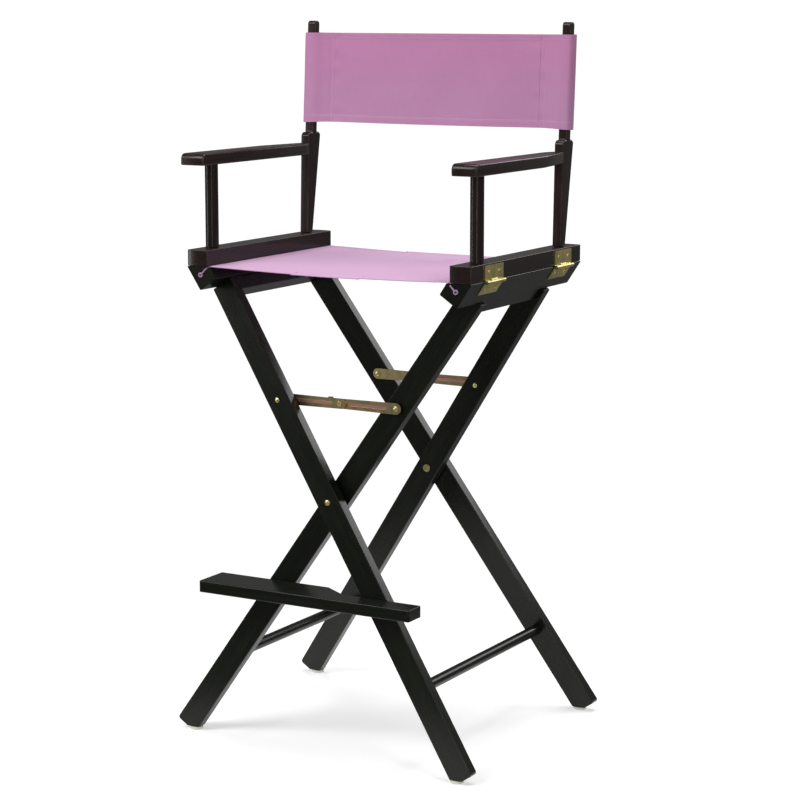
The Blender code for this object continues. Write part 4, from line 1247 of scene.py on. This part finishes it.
@dataclass
class BackCloth:
    """The back: a middle panel and a sleeve over each post's neck, sewn with two rows."""

    palette: Palette
    thickness: float = 1.1 * MM
    seam_inner: float = 193 * MM
    seam_outer: float = 202 * MM
    top_hem: float = 7 * MM
    bottom_hem: float = 12 * MM
    hem_rise: float = 0.35 * MM
    hem_dent: float = 0.45 * MM
    waviness: float = 0.55 * MM
    seam_dent: float = 0.5 * MM
    seam_inset: float = 1.2 * MM
    lower_droop: float = 1.2 * MM
    outer_droop: float = 2.0 * MM
    neck_radius: float = 7 * MM
    bow: float = 5 * MM
    outer_end: float = 254 * MM
    lean: float = 0.0601
    sleeve_share: float = 0.75
    folded_gap: float = 81.6 * MM
    folded_clearance: float = 1.5 * MM

    def __post_init__(self) -> None:
        """Read the cloth's place from the frame."""
        low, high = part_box("back_canvas_right")
        self.bottom, self.top = low.z, high.z
        post_low, post_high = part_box("back_post_right")
        self.post = (post_low.x + post_high.x) / 2
        tip = post_high.y - self.neck_radius
        self.neck_at_top = tip - self.lean * (post_high.z - self.top)

    def depth_at(self, height: float) -> float:
        """Y of the neck's centre line at a height."""
        return self.neck_at_top - self.lean * (self.top - height)

    def heights(self) -> list[float]:
        """Distances up the cloth, close together over the hems."""
        full = self.top - self.bottom
        low = [0.0, 0.6, 1.8, 4.0, 8.0, 10.6, 11.5, 12.0, 12.5, 13.4, 14.4, 17.0]
        high = [0.0, 0.6, 1.8, 4.0, 6.0, 6.6, 7.0, 7.4, 8.2, 9.2, 12.0]
        low = [value * MM for value in low]
        high = [value * MM for value in high]
        inner = list(np.linspace(low[-1], full - high[-1], 30))[1:-1]
        return low + inner + [full - value for value in reversed(high)]

    def hem_relief(self, up: float) -> float:
        """How far the cloth stands proud at a height: thicker hems, pressed in at the stitches."""
        full = self.top - self.bottom
        past = 1.4 * MM
        on_hem = up < self.bottom_hem + past or up > full - self.top_hem - past
        groove = dent(up - self.bottom_hem, 0.8 * MM) + dent(full - up - self.top_hem, 0.8 * MM)
        return (self.hem_rise if on_hem else 0.0) - self.hem_dent * groove

    def slack(self, x: float, up: float) -> float:
        """Small unevenness of the stretched cloth."""
        wave = self.waviness * math.sin(x * 38 + 1.1) * math.sin(up * 41 + 0.4)
        pucker = 0.5 * MM * math.sin(up * 190) * math.exp(-abs(abs(x) - self.seam_inner) / (9 * MM))
        return wave + pucker

    def panel_depth(self, x: float, up: float) -> float:
        """How far behind the neck's centre line the middle panel lies."""
        share = min(1.0, abs(x) / self.seam_outer)
        sag = self.bow * (1 - share ** 2) * (1 + 0.25 * math.cos(up / (self.top - self.bottom) * math.pi))
        return sag - 0.8 * MM + self.slack(x, up) - self.hem_relief(up)

    def build(self) -> None:
        """Make the panel and both sleeves, then sew them."""
        self.panel()
        for side in Side:
            self.sleeve(side)

    def panel(self) -> None:
        """The middle panel, which rides with the right arm."""
        ups = self.heights()
        columns = list(np.linspace(-self.seam_inner, self.seam_inner, 131))

        def shape(column: int, row: int) -> Vector:
            """The place of the panel's vertex at a column and a row."""
            x, up = columns[column], ups[row]
            droop = self.lower_droop * (1 - (x / self.seam_inner) ** 2) * (1 - up / ups[-1])
            height = self.bottom + up - droop
            return Vector((x, self.depth_at(height) + self.panel_depth(x, up), height))

        panel = cloth("back_panel", columns, ups, shape, self.thickness)
        settle(panel, Side.RIGHT.arm, "canvas", self.palette.back_cloth())
        lines = []
        for target in (self.bottom_hem, ups[-1] - self.top_hem):
            row = nearest(ups, target)
            for face in (1, -1):
                lift = Vector((0, face * (self.thickness / 2 + 0.1 * MM), 0))
                lines.append([(shape(column, row) + lift, Vector((0, face, 0)))
                              for column in range(0, len(columns), 2)])
        threads = Stitching(self.palette).rows("back_panel_stitching", lines)
        settle(threads, Side.RIGHT.arm, "canvas", self.palette.thread())
        seam = self.post - self.sleeve_share * (self.post - self.seam_inner)
        left_over = self.folded_gap - 2 * (self.post - seam) - self.folded_clearance
        share = left_over / (2 * self.seam_inner)
        anchor = ((seam - self.seam_inner * share) / (1 - share), 0, self.bottom)
        for piece in (panel, threads):
            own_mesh(piece)

    def sleeve_section(self) -> list[Vector]:
        """The sleeve's line, from the inner seam round the post and back, as X and depth."""
        joint = self.panel_depth(self.seam_inner, 40 * MM) - self.slack(self.seam_inner, 40 * MM)
        front = [(self.seam_inner, joint), (self.seam_outer, -1.0 * MM), (self.post - 22 * MM, -4.6 * MM),
                 (self.post - 9 * MM, -8.6 * MM), (self.post + 4 * MM, -9.2 * MM),
                 (self.outer_end - 3.6 * MM, -7.4 * MM), (self.outer_end, -1.5 * MM)]
        rear = [(self.outer_end - 0.4 * MM, 4 * MM), (self.outer_end - 4.5 * MM, 8.6 * MM),
                (self.post, 9.3 * MM), (self.post - 10 * MM, 8.4 * MM), (self.post - 22 * MM, 4.9 * MM),
                (self.seam_outer, 1.0 * MM), (self.seam_inner + 0.6 * MM, joint + 1.5 * MM)]
        return smooth_path(front + rear, 150)

    def sleeve(self, side: Side) -> None:
        """One sleeve, which rides with its arm.

        Args:
            side: the chair's side.
        """
        section = self.sleeve_section()
        stations = path_stations(section)
        ups = self.heights()

        def shape(column: int, row: int) -> Vector:
            """The place of the sleeve's vertex at a column and a row."""
            point, up = section[column], ups[row]
            share = (point.x - self.seam_inner) / (self.outer_end - self.seam_inner)
            drop = self.outer_droop * max(0.0, share) ** 2 * (1 - up / ups[-1])
            height = self.bottom + up - drop
            front = 1 if column < len(section) / 2 else -1
            depth = point.y - front * self.hem_relief(up) * (1 - 0.6 * max(0.0, share))
            near_seam = math.exp(-max(0.0, share) * 5)
            depth += self.slack(side.value * point.x, up) * near_seam
            if front > 0:
                depth += 0.35 * MM * math.sin(up * 55 + point.x * 90) * share
            for seam in (self.seam_inner + self.seam_inset, self.seam_outer):
                depth += front * self.seam_dent * dent(point.x - seam, 1.2 * MM)
            bulge = 1 + 0.12 * math.sin(up / ups[-1] * math.pi) * share
            return Vector((side.value * point.x, self.depth_at(height) + depth * bulge, height))

        piece = cloth("back_sleeve_" + side.word, [value + self.seam_inner for value in stations], ups,
                      shape, self.thickness)
        if side is Side.LEFT:
            Bench.face_out(piece)
        settle(piece, side.arm, "canvas", self.palette.back_cloth(), ["back_canvas_" + side.word])
        threads = self.sew(side, section, ups, shape)
        for soft in (piece, threads):
            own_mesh(soft)

    def sew(self, side: Side, section: Sequence[Vector], ups: Sequence[float],
            shape: Callable[[int, int], Vector]) -> bpy.types.Object:
        """Sew two rows up the sleeve on both faces, and carry the hems round it.

        Args:
            side: the chair's side.
            section: the sleeve's line.
            ups: distances up the cloth.
            shape: the sleeve's shape.

        Returns:
            The stitches.
        """
        lift = self.thickness / 2 + 0.1 * MM
        lines = []
        half = len(section) // 2
        for target in (self.seam_inner + self.seam_inset, self.seam_outer):
            front = nearest([point.x for point in section[:half]], target)
            rear = half + nearest([point.x for point in section[half:]], target)
            for column, face in ((front, -1), (rear, 1)):
                lines.append([(shape(column, row) + Vector((0, face * lift, 0)), Vector((0, face, 0)))
                              for row in range(len(ups))])
        for target in (self.bottom_hem, ups[-1] - self.top_hem):
            row = nearest(ups, target)
            line = []
            for column in range(0, len(section), 2):
                before, after = section[max(column - 1, 0)], section[min(column + 1, len(section) - 1)]
                way = (after - before).normalized()
                out = Vector((side.value * way.y, -way.x, 0))
                line.append((shape(column, row) + out * lift, out))
            lines.append(line)
        threads = Stitching(self.palette).rows("back_stitching_" + side.word, lines)
        return settle(threads, side.arm, "canvas", self.palette.thread())


# ---------------------------------------------------------------- studio

@dataclass
class Studio:
    """A pale floor, soft lights and the camera."""

    aim: tuple[float, float, float] = (0, 0, 0.6)
    eye: tuple[float, float, float] = (1.8993, -3.2852, 1.1909)
    yaw: float = math.radians(29.65)
    pitch: float = math.radians(9.65)
    lens: float = 105.9
    sensor: float = 36.0
    surround: float = 0.17
    white: float = 1.05
    floor_below: float = 0.2 * MM
    floor_radius: float = 0.85

    def build(self) -> None:
        """Make the floor, the lights and the camera."""
        self.floor()
        self.world()
        self.light("key", (-1.6, -2.6, 3.0), 1.6, 74, (1.0, 0.99, 0.98))
        self.light("fill", (3.0, -1.4, 2.0), 1.1, 24, (0.98, 0.99, 1.0))
        self.light("top", (0.2, 0.4, 3.4), 2.0, 66, (1.0, 1.0, 1.0))
        self.light("rear", (1.2, 3.2, 2.2), 1.4, 24, (1.0, 1.0, 1.0))
        self.light("left_strip", (-1.5, -1.1, 1.0), 0.16, 9, (1.0, 1.0, 1.0), 1.7)
        self.light("right_strip", (1.3, -2.4, 1.0), 0.14, 7, (1.0, 1.0, 1.0), 1.7)
        self.camera()

    def floor(self) -> None:
        """A round pale floor that fades out into the white surround."""
        Bench.clear_selection()
        bpy.ops.mesh.primitive_circle_add(vertices=96, radius=self.floor_radius, fill_type="NGON",
                                          location=(0, 0, -self.floor_below))
        floor = Bench.name(bpy.context.object, "studio_floor")
        Bench.freeze(floor)
        floor.data.materials.append(Backdrop(fade_end=self.floor_radius).material())

    def world(self) -> None:
        """An even white surround."""
        world = bpy.data.worlds.new("white_surround")
        bpy.context.scene.world = world
        world.use_nodes = True
        tree = world.node_tree
        seen = tree.nodes["Background"]
        seen.inputs["Color"].default_value = (1, 1, 1, 1)
        seen.inputs["Strength"].default_value = self.white
        lit = tree.nodes.new("ShaderNodeBackground")
        lit.inputs["Strength"].default_value = self.surround
        lit.inputs["Color"].default_value = (1, 1, 1, 1)
        path = tree.nodes.new("ShaderNodeLightPath")
        mixed = tree.nodes.new("ShaderNodeMixShader")
        tree.links.new(path.outputs["Is Camera Ray"], mixed.inputs[0])
        tree.links.new(lit.outputs[0], mixed.inputs[1])
        tree.links.new(seen.outputs[0], mixed.inputs[2])
        tree.links.new(mixed.outputs[0], tree.nodes["World Output"].inputs["Surface"])
        bpy.context.scene.view_settings.view_transform = "Standard"

    def light(self, name: str, place: Sequence[float], size: float, power: float, colour: Colour,
              height: Optional[float] = None) -> None:
        """One soft light aimed at the chair's middle.

        Args:
            name: the light's name.
            place: where it stands.
            size: its width.
            power: in watts.
            colour: its tint.
            height: its height, the same as its width when none is given.
        """
        data = bpy.data.lights.new(name, "AREA")
        data.shape = "RECTANGLE"
        data.size = size
        data.size_y = height or size
        data.energy = power
        data.color = colour
        lamp = bpy.data.objects.new(name, data)
        lamp.location = place
        way = Vector(self.aim) - Vector(place)
        lamp.rotation_euler = way.to_track_quat("-Z", "Y").to_euler()
        bpy.context.scene.collection.objects.link(lamp)

    def camera(self) -> None:
        """The camera, at a standing viewer's distance with a long lens."""
        data = bpy.data.cameras.new("viewer")
        data.lens = self.lens
        data.sensor_width = self.sensor
        data.clip_end = 100
        camera = bpy.data.objects.new("viewer", data)
        camera.location = self.eye
        camera.rotation_euler = (math.pi / 2 - self.pitch, 0, self.yaw)
        bpy.context.scene.collection.objects.link(camera)
        bpy.context.scene.camera = camera


def main() -> None:
    """Build the chair's looks around the frame."""
    logging.basicConfig(level=logging.INFO, format="%(name)s: %(message)s")
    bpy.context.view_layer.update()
    palette = Palette()
    Studio().build()
    Joinery(palette).build()
    LeafScrews(palette).build()
    SeatCloth(palette).build()
    BackCloth(palette).build()


if __name__ == "__main__":
    main()
